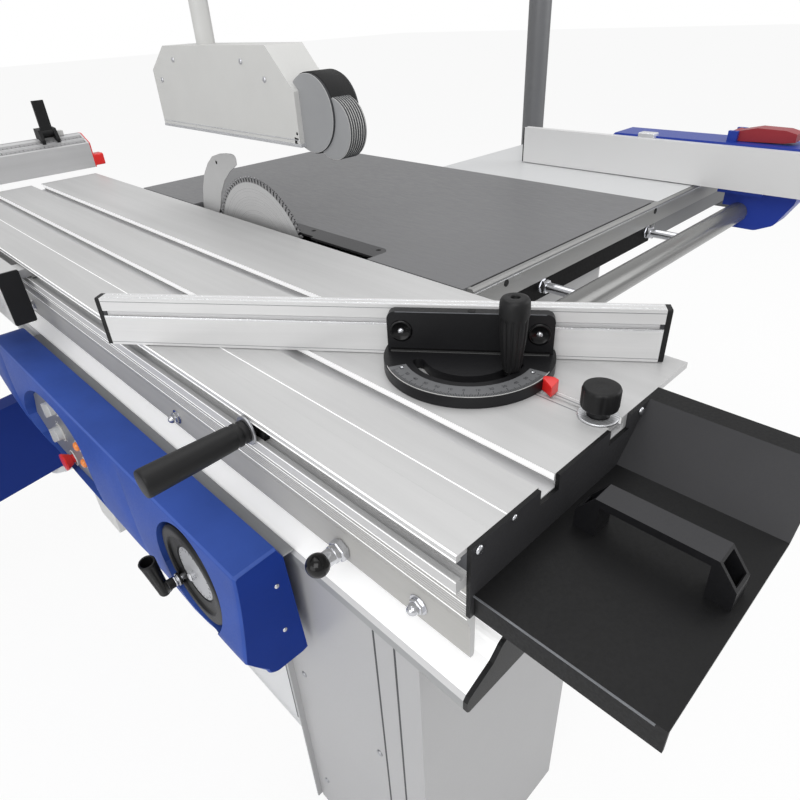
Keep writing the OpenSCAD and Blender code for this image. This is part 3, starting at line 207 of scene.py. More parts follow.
finish("steel", (168, 169, 172), 0.32, 0.85, 0.06, 8, 0.08, 420, 0.12)
finish("rail_steel", (130, 130, 129), 0.24, 0.5, 0.03, 5, 0.04, 700, 0.02, 0.1, ALONG_X)
finish("chrome", (205, 206, 210), 0.12, 0.95, 0.03, 9, 0.04, 300, 0.03, 0.1)
finish("pale_paint", (214, 215, 216), 0.42, 0, 0.03, 3, 0.05, 420, 0.12, coat=0.1)
finish("table_paint", (214, 215, 216), 0.4, 0.05, 0.03, 3, 0.05, 420, 0.1, coat=0.1)
finish("blue_paint", (34, 60, 156), 0.34, 0, 0.05, 5, 0.06, 360, 0.16, 0.3, level=0.35)
finish("blue_shell", (52, 80, 158), 0.5, 0, 0.11, 16, 0.06, 300, 0.18, 0.3, level=0.12)
# Copies of the blue paints: a darker one for the shell's operator end, painted shade, and lighter ones for
# rounded edges, painted highlights
finish("blue_painted_shade", (16, 50, 134), 0.5, 0, 0.08, 12, 0.06, 300, 0.18, 0.3, level=0.12)
finish("blue_painted_highlight", (58, 88, 168), 0.4, 0, 0.08, 9, 0.06, 300, 0.18, 0.3, level=0.4)
finish("navy_painted_highlight", (84, 108, 184), 0.36, 0, 0.08, 9, 0.06, 300, 0.18, 0.3, level=0.4)
finish("navy_paint", (22, 48, 124), 0.5, 0, 0.06, 4, 0.06, 360, 0.16, 0.3, level=0.15)
finish("black_paint", (22, 22, 24), 0.4, 0, 0.2, 9, 0.08, 320, 0.25, 0.3, level=0.3)
finish("tray_floor", (17, 17, 18), 0.5, 0, 0.2, 9, 0.08, 320, 0.3, 0.3, level=0.25)
# A lighter copy of the tray's black for faces turned to the lamps: painted light
finish("tray_painted_light", (54, 54, 56), 0.5, 0, 0.12, 9, 0.08, 320, 0.3, 0.3, level=0.25)
# A light grey on edges of black parts: worn paint, and a painted highlight
finish("worn_edge", (104, 106, 110), 0.38, 0.3, 0.25, 60, 0.1, 500, 0.2)
finish("black_plastic", (22, 22, 23), 0.46, 0, 0.15, 12, 0.08, 800, 0.3, level=0.3)
finish("gloss_black", (7, 7, 8), 0.16, 0, 0.1, 12, 0.03, 500, 0.03, 0.1, level=0.35)
finish("dark_red", (150, 34, 44), 0.42, 0, 0.06, 9, 0.07, 400, 0.2, 0.3, coat=0.15)
finish("red_plastic", (226, 40, 38), 0.36, 0, 0.05, 14, 0.06, 600, 0.12, coat=0.2)
finish("grey_plastic", (150, 151, 153), 0.45, 0, 0.05, 12, 0.07, 700, 0.2)
finish("pale_plastic", (206, 206, 204), 0.4, 0, 0.03, 12, 0.06, 700, 0.12)
# Dark grey plastic, also laid in the table's side slot as painted shade
finish("dark_plastic", (78, 79, 82), 0.5, 0, 0.08, 14, 0.08, 700, 0.25)
finish("panel_grey", (126, 127, 130), 0.4, 0.2, 0.05, 14, 0.06, 600, 0.1)
finish("dial_grey", (176, 177, 180), 0.36, 0.3, 0.04, 20, 0.06, 600, 0.1, 0.1)
finish("lamp_orange", (232, 132, 52), 0.22, 0, 0.06, 40, 0.05, 400, 0.05, 0.1, coat=0.5)
finish("rubber", (28, 28, 29), 0.75, 0, 0.12, 30, 0.08, 700, 0.5, 0.3)
finish("white_mark", (224, 225, 226), 0.5, 0, 0.03, 30, 0.05, 600, 0.05, 0.1)
finish("dark_mark", (52, 53, 56), 0.5, 0, 0.05, 30, 0.05, 600, 0.05, 0.1)
finish("scale_strip", (154, 154, 155), 0.4, 0.2, 0.03, 20, 0.05, 600, 0.05, 0.1)
finish("tip_metal", (150, 150, 152), 0.3, 0.8, 0.08, 40, 0.08, 700, 0.1, 0.1)
# A darker copy of the pale paint for the pedestal's side: painted shade
finish("pedestal_painted_shade", (172, 172, 173), 0.42, 0, 0.03, 3, 0.05, 420, 0.12, coat=0.1)
# A mid-dark grey for the extension's frame and front faces: painted shade under the rail and fence
finish("frame_painted_shade", (112, 113, 115), 0.42, 0.2, 0.1, 3, 0.05, 600, 0.06, stretch=ALONG_X)
finish("bracket_black", (9, 9, 10), 0.6, 0, 0.2, 9, 0.08, 320, 0.2, 0.3, level=0.1)
finish("rim_black", (13, 13, 14), 0.42, 0, 0.15, 12, 0.08, 800, 0.2, level=0.25)
finish("scale_grey", (106, 107, 109), 0.45, 0, 0.06, 14, 0.06, 700, 0.15, level=0.3)
finish("knob_silver", (200, 201, 202), 0.34, 0.15, 0.05, 12, 0.07, 700, 0.15)
finish("drum_grey", (70, 71, 73), 0.6, 0, 0.08, 14, 0.08, 700, 0.2, level=0.15)
# A dark grey for the sides of the blade's teeth and gullets: painted shade
finish("gullet_painted_shade", (46, 46, 48), 0.5, 0.4, 0.1, 40, 0.08, 700, 0.1, 0.1, level=0.3)
finish("knife_steel", (196, 196, 196), 0.42, 0.1, 0.05, 9, 0.07, 420, 0.12)
# Near-black for printed marks, and for discs and strips set into holes, gaps and seams: painted shade
finish("hole_black", (16, 16, 17), 0.8, 0, 0.05, 30, 0.05, 600, 0.1)

BLADE_AXIS = (0.055, 0.784)


def blade_finish():
    """Ground disc: fine rings round the arbor, and a darker band over the teeth, painted shade of the
    gullets.
    """
    t, p, where = new_finish("blade_steel")
    off = node(t, "ShaderNodeVectorMath", {0: where, 1: (0, *BLADE_AXIS)}, operation="SUBTRACT")
    flat = node(t, "ShaderNodeVectorMath", {0: off.outputs["Vector"], 1: (0, 1, 1)}, operation="MULTIPLY")
    size = node(t, "ShaderNodeVectorMath", {0: flat.outputs["Vector"]}, operation="LENGTH")
    radius = size.outputs["Value"]
    ring = node(t, "ShaderNodeTexNoise", {"W": radius, "Scale": 1400}, noise_dimensions="1D").outputs["Fac"]
    # Painted shade: darker beyond the gullets' floor
    base = blend(t, ramp(t, radius, 0.1455, 0.1475, 0, 1), rgb(212, 212, 212), rgb(150, 150, 151))
    base = blend(t, ramp(t, ring, 0.35, 0.65, 0, 0.18), base, rgb(180, 180, 182))
    feed(t, p, {"Base Color": base, "Metallic": 0.5, "Roughness": ramp(t, ring, 0.3, 0.7, 0.26, 0.42)})
    emboss(t, p, ring, 0.12, 0.2)


blade_finish()


# Mesh building in the table's frame, in millimetres
def swing(axis):
    """The turn that brings the upward axis onto another one."""
    return Vector(UP).rotation_difference(Vector(axis).normalized()).to_matrix()


def about_x(angle, centre):
    """A turn about the x axis by an angle in degrees, and a move to a centre."""
    c, s = cos(radians(angle)), sin(radians(angle))
    return Matrix(((1, 0, 0, centre[0]), (0, c, -s, centre[1]), (0, s, c, centre[2]), (0, 0, 0, 1)))


def polar(c, r, a):
    """The point at a radius and an angle in degrees from a centre."""
    return (c[0] + r * cos(radians(a)), c[1] + r * sin(radians(a)))


def arc(c, r, a0, a1, n):
    return [polar(c, r, a0 + (a1 - a0) * i / n) for i in range(n + 1)]


def circle(c, r, n):
    return arc(c, r, 0, 360 - 360 / n, n - 1)


def round_box(lo, hi, r, n):
    return (arc((hi[0] - r, hi[1] - r), r, 0, 90, n) + arc((lo[0] + r, hi[1] - r), r, 90, 180, n)
            + arc((lo[0] + r, lo[1] + r), r, 180, 270, n) + arc((hi[0] - r, lo[1] + r), r, 270, 360, n))


class Build:
    """Closed forms gathered into one piece. done() makes the piece and starts the next one."""

    def __init__(self):
        self.bm = bmesh.new()

    def face(self, verts):
        """A face. One that is there already is left out."""
        try:
            self.bm.faces.new(verts)
        except ValueError:
            pass

    def prism(self, axis, a0, a1, outline, holes=()):
        """An outline with holes, drawn across an axis, drawn out from a0 to a1."""
        rings = [list(outline)] + [list(h) for h in holes]
        tris = tessellate_polygon([[Vector((p[0], p[1], 0)) for p in r] for r in rings])

        def spot(p, a):
            if axis == "x":
                return (a, p[0], p[1])
            if axis == "y":
                return (p[0], a, p[1])
            return (p[0], p[1], a)
        made = []
        for a in (a0, a1):
            made.append([self.bm.verts.new(spot(p, a)) for r in rings for p in r])
        for layer in made:
            for tri in tris:
                self.face([layer[i] for i in tri])
        start = 0
        for r in rings:
            n = len(r)
            for i in range(n):
                j = (i + 1) % n
                self.face([made[0][start + i], made[0][start + j], made[1][start + j], made[1][start + i]])
            start += n
        return made[0] + made[1]

    def block(self, x0, y0, z0, x1, y1, z1):
        """A block from its low corner to its high one."""
        return self.prism("z", z0, z1, [(x0, y0), (x1, y0), (x1, y1), (x0, y1)])

    def lathe(self, profile, centre, axis=UP, steps=48, flutes=0, cut=0, span=(0, 0)):
        """A profile of (radius, distance) turned about an axis and closed on it. flutes cut into the radius
        between two distances."""
        if profile[0][0] > TINY:
            profile = [(0, profile[0][1])] + profile
        if profile[-1][0] > TINY:
            profile = profile + [(0, profile[-1][1])]
        turn = swing(axis)
        c = Vector(centre)
        rings = []
        made = []
        for r, d in profile:
            if r < TINY:
                v = self.bm.verts.new(c + turn @ Vector((0, 0, d)))
                rings.append([v])
                made.append(v)
                continue
            ring = []
            for i in range(steps):
                a = 2 * pi * i / steps
                k = r
                if flutes and span[0] - TINY <= d <= span[1] + TINY:
                    k = r - cut * max(0, cos(flutes * a)) ** 1.5
                ring.append(self.bm.verts.new(c + turn @ Vector((k * cos(a), k * sin(a), d))))
            rings.append(ring)
            made += ring
        for a, b in zip(rings, rings[1:]):
            for i in range(steps):
                j = (i + 1) % steps
                if len(a) == 1 and len(b) == 1:
                    break
                if len(a) == 1:
                    self.face([a[0], b[i], b[j]])
                elif len(b) == 1:
                    self.face([a[i], a[j], b[0]])
                else:
                    self.face([a[i], a[j], b[j], b[i]])
        return made

    def disc(self, r, d0, d1, centre, axis=UP, steps=48):
        return self.lathe([(r, d0), (r, d1)], centre, axis, steps)

    def ring(self, r0, r1, h0, h1, centre, axis=UP, steps=64):
        """A flat ring with a square section."""
        turn = swing(axis)
        c = Vector(centre)
        loops = []
        for r, d in ((r0, h0), (r1, h0), (r1, h1), (r0, h1)):
            loops.append([self.bm.verts.new(c + turn @ Vector((r * cos(2 * pi * i / steps),
                                                               r * sin(2 * pi * i / steps), d)))
                          for i in range(steps)])
        for k in range(4):
            a = loops[k]
            b = loops[(k + 1) % 4]
            for i in range(steps):
                j = (i + 1) % steps
                self.face([a[i], a[j], b[j], b[i]])
        return [v for loop in loops for v in loop]

    def sector(self, r0, r1, a0, a1, z0, z1, steps):
        """Part of a flat ring about the z axis, between two angles in degrees."""
        return self.prism("z", z0, z1, arc((0, 0), r1, a0, a1, steps) + arc((0, 0), r0, a1, a0, steps))

    def second_off_x(self):
        """The faces that don't look along x take the second finish."""
        self.bm.normal_update()
        for f in self.bm.faces:
            f.material_index = 0 if abs(f.normal.x) > 0.7 else 1

    def move(self, verts, matrix):
        bmesh.ops.transform(self.bm, matrix=matrix, verts=verts)

    def hexagon(self, r, h0, h1, centre, axis=UP):
        """A chamfered hexagon nut or head."""
        c = r * 0.1
        return self.lathe([(r - c, h0), (r, h0 + c), (r, h1 - c), (r - c, h1)], centre, axis, 6)

    def dome(self, r, h, centre, axis=UP, steps=24):
        """A domed screw head on its seat."""
        pts = [(r, 0), (r, h * 0.2)]
        for k in range(1, 6):
            a = k * pi / 12
            pts.append((r * cos(a), h * 0.2 + h * 0.8 * sin(a) / sin(pi * 5 / 12)))
        pts.append((0, h * 1.01))
        return self.lathe(pts, centre, axis, steps)

    def done(self, name, body, slot, finishes=None, bevel=0, segments=2, angle=40, place=None, replaces=None):
        """Makes the piece, in metres in the row frame, and says what carries it. Its finish has the name of
        its slot unless another is given."""
        if place is not None:
            self.move(self.bm.verts, place)
        for v in self.bm.verts:
            v.co = at(*v.co)
        bmesh.ops.recalc_face_normals(self.bm, faces=self.bm.faces)
        me = bpy.data.meshes.new(name)
        self.bm.to_mesh(me)
        self.bm.free()
        self.bm = bmesh.new()
        o = add(name, me)
        for m in finishes if isinstance(finishes, tuple) else [finishes or slot]:
            me.materials.append(M[m])
        round_edges(o, bevel, segments, angle)
        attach(o, body)
        if replaces:
            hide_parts(replaces)
        return o


def bevel_edges(o, width, segments, angle, edge_slot=-1):
    """Edges sharper than an angle are rounded off, by a width in millimetres."""
    m = o.modifiers.new("edges", "BEVEL")
    m.width = width / 1000
    m.segments = segments
    m.limit_method = "ANGLE"
    m.angle_limit = radians(angle)
    m.use_clamp_overlap = True
    m.material = edge_slot


def round_edges(o, width, segments, angle):
    """Rounded edges with smooth shading between them."""
    for p in o.data.polygons:
        p.use_smooth = True
    if width > 0:
        bevel_edges(o, width, segments, angle)
    s = o.modifiers.new("shade", "WEIGHTED_NORMAL")
    s.keep_sharp = False
    s.weight = 80


# Floor, lamps and camera
def stage():
    """A white floor that takes soft shadows."""
    me = bpy.data.meshes.new("floor")
    far = 30
    me.from_pydata([(-far, -far, 0), (far, -far, 0), (far, far, 0), (-far, far, 0)], [], [(0, 1, 2, 3)])
    o = add("floor", me)
    m = bpy.data.materials.new("floor")
    m.use_nodes = True
    t = m.node_tree
    t.nodes.clear()
    where = node(t, "ShaderNodeTexCoord").outputs["Object"]
    tone = blend(t, noise(t, where, 0.8), rgb(246, 246, 246), rgb(250, 250, 250))
    diffuse = node(t, "ShaderNodeBsdfDiffuse", {"Color": tone}).outputs[0]
    glow = node(t, "ShaderNodeEmission", {"Strength": 1}).outputs[0]
    ray = node(t, "ShaderNodeLightPath").outputs["Is Camera Ray"]
    seen = node(t, "ShaderNodeMath", {0: ray, 1: 0.9}, operation="MULTIPLY").outputs[0]
    mix = node(t, "ShaderNodeMixShader", {0: seen, 1: diffuse, 2: glow}).outputs[0]
    node(t, "ShaderNodeOutputMaterial", {"Surface": mix})
    me.materials.append(m)


def world():
    """White all round: full for the eye, dimmer in reflections and as light."""
    w = bpy.data.worlds.new("studio")
    bpy.context.scene.world = w
    w.use_nodes = True
    t = w.node_tree
    t.nodes.clear()
    ray = node(t, "ShaderNodeLightPath").outputs

    def white(strength):
        return node(t, "ShaderNodeBackground", {"Color": (1, 1, 1, 1), "Strength": strength}).outputs[0]
    lit = node(t, "ShaderNodeMixShader", {0: ray["Is Glossy Ray"], 1: white(0.5), 2: white(0.62)}).outputs[0]
    seen = node(t, "ShaderNodeMixShader", {0: ray["Is Camera Ray"], 1: lit, 2: white(1)}).outputs[0]
    node(t, "ShaderNodeOutputWorld", {"Surface": seen})


def lamp(name, place, aim, size, power):
    d = bpy.data.lights.new(name, "AREA")
    d.shape = "RECTANGLE"
    d.size, d.size_y = size
    d.energy = power
    o = add(name, d)
    o.location = place
    o.rotation_euler = (Vector(aim) - Vector(place)).to_track_quat("-Z", "Y").to_euler()


stage()
world()
lamp("key", (-2.6, -2.2, 3.6), (0, 0, 0.7), (2.6, 2.6), 62)
lamp("top", (0.4, 0.4, 4.2), (0, 0, 0.6), (3.4, 3.4), 52)
lamp("fill", (2.8, -2.6, 2.2), (0.3, 0, 0.6), (2.2, 2.2), 30)
lamp("side", (-3.4, -0.9, 1.4), (-0.3, 0, 0.6), (2.6, 2), 22)

cam_data = bpy.data.cameras.new("camera")
cam_data.sensor_width = 36
cam_data.lens = 27.56
cam_data.clip_start = 0.02
camera = add("camera", cam_data)
camera.location = (-0.62713, -0.99228, 1.19081)
camera.rotation_euler = Euler([radians(a) for a in (57.4912, 2.6768, -44.6113)], "XYZ")
bpy.context.scene.camera = camera
bpy.context.scene.view_settings.view_transform = "Standard"


# Finishes of the solids that stay: material, rounding in millimetres, and the finish of the rounded edges, a
# painted highlight where it is lighter
SOLIDS = {
    "base_plate": ("pale_paint", 1), "cabinet_left": ("pale_paint", 0.8),
    # cabinet_front takes painted shade, a darker copy of the pale paint
    "cabinet_right": ("pale_paint", 0.8), "cabinet_front": ("pedestal_painted_shade", 0.8),
    "cabinet_rear": ("pale_paint", 0.8), "service_door": ("pale_paint", 0.8),
    "fixed_table": ("cast_iron", 0.8), "table_insert": ("dark_steel", 0.3),
    # extension_frame takes painted shade, a dark grey
    "extension_table": ("table_paint", 1.2), "extension_frame": ("frame_painted_shade", 1.5),
    "front_rail": ("rail_alu", 0.5, "edge_alu"), "rail_bracket": ("bracket_black", 1),
    "round_rail": ("rail_steel", 0.6), "rail_studs": ("chrome", 0.6),
    "guide_beam": ("beam_alu", 0.6, "edge_alu"), "beam_end_caps": ("black_plastic", 0.8),
    "switch_plate": ("panel_grey", 0.5), "trunnion_cradles": ("cast_raw", 1), "dust_chute": ("steel", 1),
    "trunnions": ("cast_raw", 1), "saw_carriage": ("cast_raw", 1.5), "motor": ("navy_paint", 1.5),
    "drive_belt": ("rubber", 0.5), "blade_shroud": ("black_paint", 0.8), "arbor_shaft": ("steel", 0.4),
    "clamp_flanges": ("steel", 0.5), "motor_pulley": ("cast_raw", 0.6),
    "tilt_handwheel": ("black_plastic", 1.6), "sliding_table": ("satin_alu", 0.5, "edge_alu"),
    "end_tray": ("tray_floor", 0.8, "worn_edge"), "tray_handle": ("black_paint", 0.8),
    "roller_cage": ("steel", 0.5), "outrigger_frame": ("satin_alu", 1),
    "crosscut_fence": ("fence_alu", 0.8, "edge_alu"), "fence_extension": ("satin_alu", 0.6),
    "stop_carrier": ("black_plastic", 0.8), "stop_flap": ("black_plastic", 0.8),
    "swing_arm": ("navy_paint", 1.5, "navy_painted_highlight"), "support_tube": ("steel", 1),
    "rip_casting": ("blue_paint", 2), "rip_plate": ("plate_alu", 0.5, "edge_alu"),
    "rip_lever": ("dark_red", 1.6), "mitre_bar": ("satin_alu", 0.3),
    "mitre_fence": ("gauge_alu", 0.4, "edge_alu"), "guard_boom": ("pale_paint", 2),
    "guard_hood": ("pale_plastic", 1.2), "stop_button": ("red_plastic", 0.8),
    "speed_knob": ("knob_silver", 1), "mode_knob": ("knob_silver", 1), "start_switch": ("pale_plastic", 0.8),
}
for name, (look, width, *edge) in SOLIDS.items():
    o = frame["nodes"][name]
    o.data.materials.clear()
    for m in (look, *edge):
        o.data.materials.append(M[m])
    for p in o.data.polygons:
        p.material_index = 0
    bevel_edges(o, width, 2, 35, 1 if edge else -1)


def repaint(name, look, test):
    """Another finish for the faces of a solid whose normal and middle, in the table's frame, pass a test."""
    o = frame["nodes"][name]
    o.data.materials.append(M[look])
    slot = len(o.data.materials) - 1
    turn = o.matrix_world.to_3x3()
    for p in o.data.polygons:
        c = o.matrix_world @ p.center * 1000 + Vector(TABLE_ORIGIN)
        if test((turn @ p.normal).normalized(), c):
            p.material_index = slot


# Painted shade and light on the sliding table: darker side faces, lighter slot floors
repaint("sliding_table", "apron_painted_shade", lambda n, c: n.x < -0.5 and c.z < -40)
repaint("sliding_table", "slot_grey", lambda n, c: n.z > 0.7 and -30 < c.z < -10 and c.x > 90)
# Painted light and shade on the beam: a glowing top, a grey side and a lighter lower band
repaint("guide_beam", "beam_top_painted_light", lambda n, c: n.z > 0.25)
repaint("guide_beam", "beam_side", lambda n, c: n.z <= 0.25)
repaint("guide_beam", "slot_grey", lambda n, c: 0.25 < n.z < 0.75 and c.z < -180)
# Painted shade on the extension table's front faces
repaint("extension_table", "frame_painted_shade", lambda n, c: n.y < -0.7 and c.y < 340)
# Painted light: lighter black on the tray's faces turned to the lamps and on the handle's top
repaint("end_tray", "tray_painted_light", lambda n, c: n.y < -0.7 and c.y > -10 or n.x < -0.7 and c.x > 150)
repaint("tray_handle", "tray_painted_light", lambda n, c: n.z > 0.7 and c.z > -16)

b = Build()

# Mitre gauge: its pivot in the inner slot, and the fence's angle
GAUGE = (223.5, 176)
ON_FENCE = Matrix.Translation((GAUGE[0], GAUGE[1], 0)) @ Matrix.Rotation(radians(FENCE_ANGLE), 4, "Z")
PLATE_N0 = 1.6
PLATE_N1 = 13.6
PLATE_HALF = 89.5
PLATE_TOP = 58.4
BASE_R = 93
BASE_TOP = 12.4
SLOT_R = 57
SLOT_HALF = 6.5
SWIVEL = (-156, -24)
BOSSES = (-74, 74)


def on_fence(name, body, slot, look=None, *edges, **more):
    """A piece drawn along the fence, across it and up, from the gauge's pivot."""
    b.done(name, body, slot, look, *edges, place=ON_FENCE, **more)


def gauge_number(value, angle, side):
    text = bpy.data.curves.new("number", "FONT")
    text.body = str(value)
    text.size = 5.4
    text.align_x = "CENTER"
    text.extrude = 0.08
    o = add("number", text)
    b.bm.from_mesh(worked_out(o))
    bpy.data.objects.remove(o)
    place = ON_FENCE @ Matrix.Rotation(radians(angle), 4, "Z")
    place = place @ Matrix.Translation((0, -80.5, BASE_TOP + 0.38))
    b.done("gauge_number_%s%d" % (side, value), "gauge_head", "black_plastic", "dark_mark", place=place)


def gauge_head():
    edge = degrees(asin(PLATE_N1 / BASE_R))
    a0, a1 = SWIVEL
    slot = (arc((0, 0), SLOT_R + SLOT_HALF, a0, a1, 30)
            + arc(polar((0, 0), SLOT_R, a1), SLOT_HALF, a1, a1 + 180, 8)[1:-1]
            + arc((0, 0), SLOT_R - SLOT_HALF, a1, a0, 30)
            + arc(polar((0, 0), SLOT_R, a0), SLOT_HALF, a0 + 180, a0 + 360, 8)[1:-1])
    b.prism("z", 0.4, BASE_TOP, arc((0, 0), BASE_R, -180 - edge, edge, 72), [slot])
    on_fence("gauge_head_base", "gauge_head", "black_paint", bevel=1.2, segments=3, replaces="mitre_head")
    b.prism("y", PLATE_N0, PLATE_N1, round_box((-PLATE_HALF, 0.5), (PLATE_HALF, PLATE_TOP), 9, 8))
    on_fence("gauge_head_plate", "gauge_head", "black_paint", bevel=1.4, segments=3)
    b.prism("x", -86, 86, [(PLATE_N0 + 1, 11), (-3.4, 11), (-3.4, 13.2), (-1.8, 14.6), (PLATE_N0 + 1, 15.4)])
    on_fence("gauge_head_ridge", "gauge_head", "black_paint", "gloss_black", 0.5, angle=25)
    # A light strip along the plate's top edge: painted highlight
    b.block(-80, PLATE_N0 - 0.05, 57.5, 80, PLATE_N0 + 0.5, 58.45)
    on_fence("gauge_head_edge_highlight", "gauge_head", "black_paint", "worn_edge", 0.2)
    for s in BOSSES:
        b.lathe([(12.6, -0.5), (12.6, 1), (11.6, 2), (9.6, 2), (8.6, 0.8)], (s, PLATE_N0, 36), NEAR, 36)
    on_fence("gauge_head_bosses", "gauge_head", "black_paint", "gloss_black")
    for s in BOSSES:
        b.dome(3.5, 2.6, (s, PLATE_N0 - 0.6, 36), NEAR)
    for s, n in ((-67.8, -37.5), (67.3, -37.8)):
        b.dome(2, 1.1, (s, n, BASE_TOP + 0.3))
    b.dome(2.3, 1.3, (45.1, -32, BASE_TOP))
    on_fence("gauge_head_screws", "gauge_head", "steel", "chrome")
    # A near-black disc in the plate's top hole: painted shade
    b.disc(4.2, 58.3, 59.05, (2, 7, 0), UP, 24)
    on_fence("gauge_head_hole_shade", "gauge_head", "black_plastic", "hole_black")
    b.sector(71.5, 91, -155, -25, BASE_TOP - 0.1, BASE_TOP + 0.3, 60)
    on_fence("gauge_scale_plate", "gauge_head", "black_plastic", "scale_grey")
    b.sector(91, 91.7, -157, -23, BASE_TOP - 0.4, BASE_TOP + 0.3, 60)
    on_fence("gauge_scale_lines", "gauge_head", "bright_alu", "pale_plastic")
    for i in range(-60, 61):
        size = 8 if i % 10 == 0 else 5.5 if i % 5 == 0 else 4
        v = b.block(90.6 - size, -0.28, BASE_TOP + 0.25, 90.6, 0.28, BASE_TOP + 0.36)
        b.move(v, Matrix.Rotation(radians(-90 + i), 4, "Z"))
    on_fence("gauge_scale_marks", "gauge_head", "black_plastic", "hole_black")
    for i in range(-6, 7):
        gauge_number(abs(i * 10), 10 * i, "l" if i < 0 else "r")


def gauge_rest():
    x, y = GAUGE
    low = [(228, 84), (220.6, 68.1), (235.5, 69.5), (237, 76), (233, 85)]
    high = (14, 11.5, 14, 14, 14)
    foot = [b.bm.verts.new((p[0], p[1], 0.4)) for p in low]
    crest = [b.bm.verts.new((p[0] + 0.6, p[1] + 0.4, h)) for p, h in zip(low, high)]
    for i in range(5):
        j = (i + 1) % 5
        b.face([foot[i], foot[j], crest[j], crest[i]])
    b.face(foot)
    b.face(crest[:3])
    b.face([crest[0]] + crest[2:])
    b.done("gauge_pointer", "gauge_bar", "red_plastic", bevel=0.8, angle=25)
    # Dark strips along the bar: painted shade of its grooves
    for dx in (-6.2, 6.2):
        b.block(x + dx - 0.7, 8, -0.45, x + dx + 0.7, 112, -0.3)
    b.done("gauge_bar_groove_shades", "gauge_bar", "steel", "groove_alu")
    foot = (x, y - 57, 0)
    b.disc(4.5, -6, 15, foot, UP, 24)
    zs = [17, 20, 26, 32, 38, 44, 50, 56, 62, 68]
    rs = [9.6, 10.4, 11, 11.7, 12.3, 12.9, 13.4, 13.8, 14.1, 14.3]
    prof = [(8.6, 12.6), (9.2, 14)] + list(zip(rs, zs))
    prof += [(14.4, 72), (15.2, 74), (15.4, 84), (14.9, 89), (13.2, 92), (10.5, 93), (5.2, 93), (4.6, 91.5),
             (4.4, 88)]
    b.lathe(prof, foot, UP, 96, 12, 1.5, (20, 68))
    b.done("gauge_grip_body", "gauge_grip", "black_plastic", replaces="mitre_grip")
    knob = (x, 18, 0)
    b.disc(4, -6, 3, knob, UP, 24)
    b.lathe([(11, 2), (10.2, 4), (10.2, 9), (12.5, 10.6)], knob, UP, 48)
    b.lathe([(15.5, 10.3), (17.4, 11.6), (18, 13.2), (18, 20), (18, 30), (17, 32.2), (15.2, 33.3), (6, 33.3),
             (5.4, 32.9)], knob, UP, 120, 10, 0.7, (13.2, 30))
    b.done("gauge_knob_body", "gauge_knob", "black_plastic", replaces="mitre_knob")
    b.lathe([(19.5, 0.3), (19.5, 1.7), (18.6, 2.5), (12.6, 2.5), (12, 2.1)], knob, UP, 64)
    b.done("gauge_knob_washer", "gauge_knob", "steel", "bright_alu")
    n0 = PLATE_N1 + 0.4

    def run(n_low, z_low, n_high, z_high):
        """A strip along the fence, between its end caps."""
        b.block(-435.5, n0 + n_low, z_low, 199.5, n0 + n_high, z_high)
    for s0, s1 in ((-441.5, -436), (200, 205.5)):
        b.prism("x", s0, s1, round_box((n0 - 0.3, 0.7), (n0 + 16.3, 61.3), 2, 4))
    on_fence("gauge_fence_caps", "gauge_fence", "black_plastic", bevel=0.8)
    for s0, s1 in ((-442, -441.4), (205.4, 206)):
        b.prism("x", s0, s1, round_box((n0 + 3, 5), (n0 + 13, 34), 2, 4))
    for s0, s1 in ((-436.5, -432), (196, 200.5)):
        b.block(s0, n0 + 0.3, 38.9, s1, n0 + 6.8, 45.1)
    on_fence("gauge_fence_cap_plates", "gauge_fence", "black_plastic", "dark_mark", 0.2, 1)
    # Light strips on the slot's lips: painted highlights
    run(-0.1, 36.7, 1.4, 39)
    run(0.15, 44.9, 1.4, 46)
    on_fence("gauge_fence_lip_highlights", "gauge_fence", "bright_alu", "edge_alu", 0.2, 1)
    # Dark strips at the top and foot: painted shade of grooves
    run(-0.12, 56.6, 0.2, 57.3)
    run(-0.12, 4.2, 0.2, 4.8)
    on_fence("gauge_fence_grooves", "gauge_fence", "bright_alu", "groove_alu")
    # A lighter strip in the slot: painted light against its shade
    run(2.2, 39, 6.6, 45)
    on_fence("gauge_fence_slot_painted_light", "gauge_fence", "bright_alu", "slot_grey")
    # Light strips on the top ridges: painted highlights
    run(3.2, 60.9, 4.6, 61.35)
    run(11.4, 60.9, 12.8, 61.35)
    on_fence("gauge_fence_ridge_highlights", "gauge_fence", "bright_alu", "edge_alu", 0.15, 1)


# Blade, riving knife and the insert's screws
BLADE_X = 393
BLADE_AT = (845, -76)
TEETH = 96
BORE_R = 15.1
KNIFE_HOLE = (965, 94)


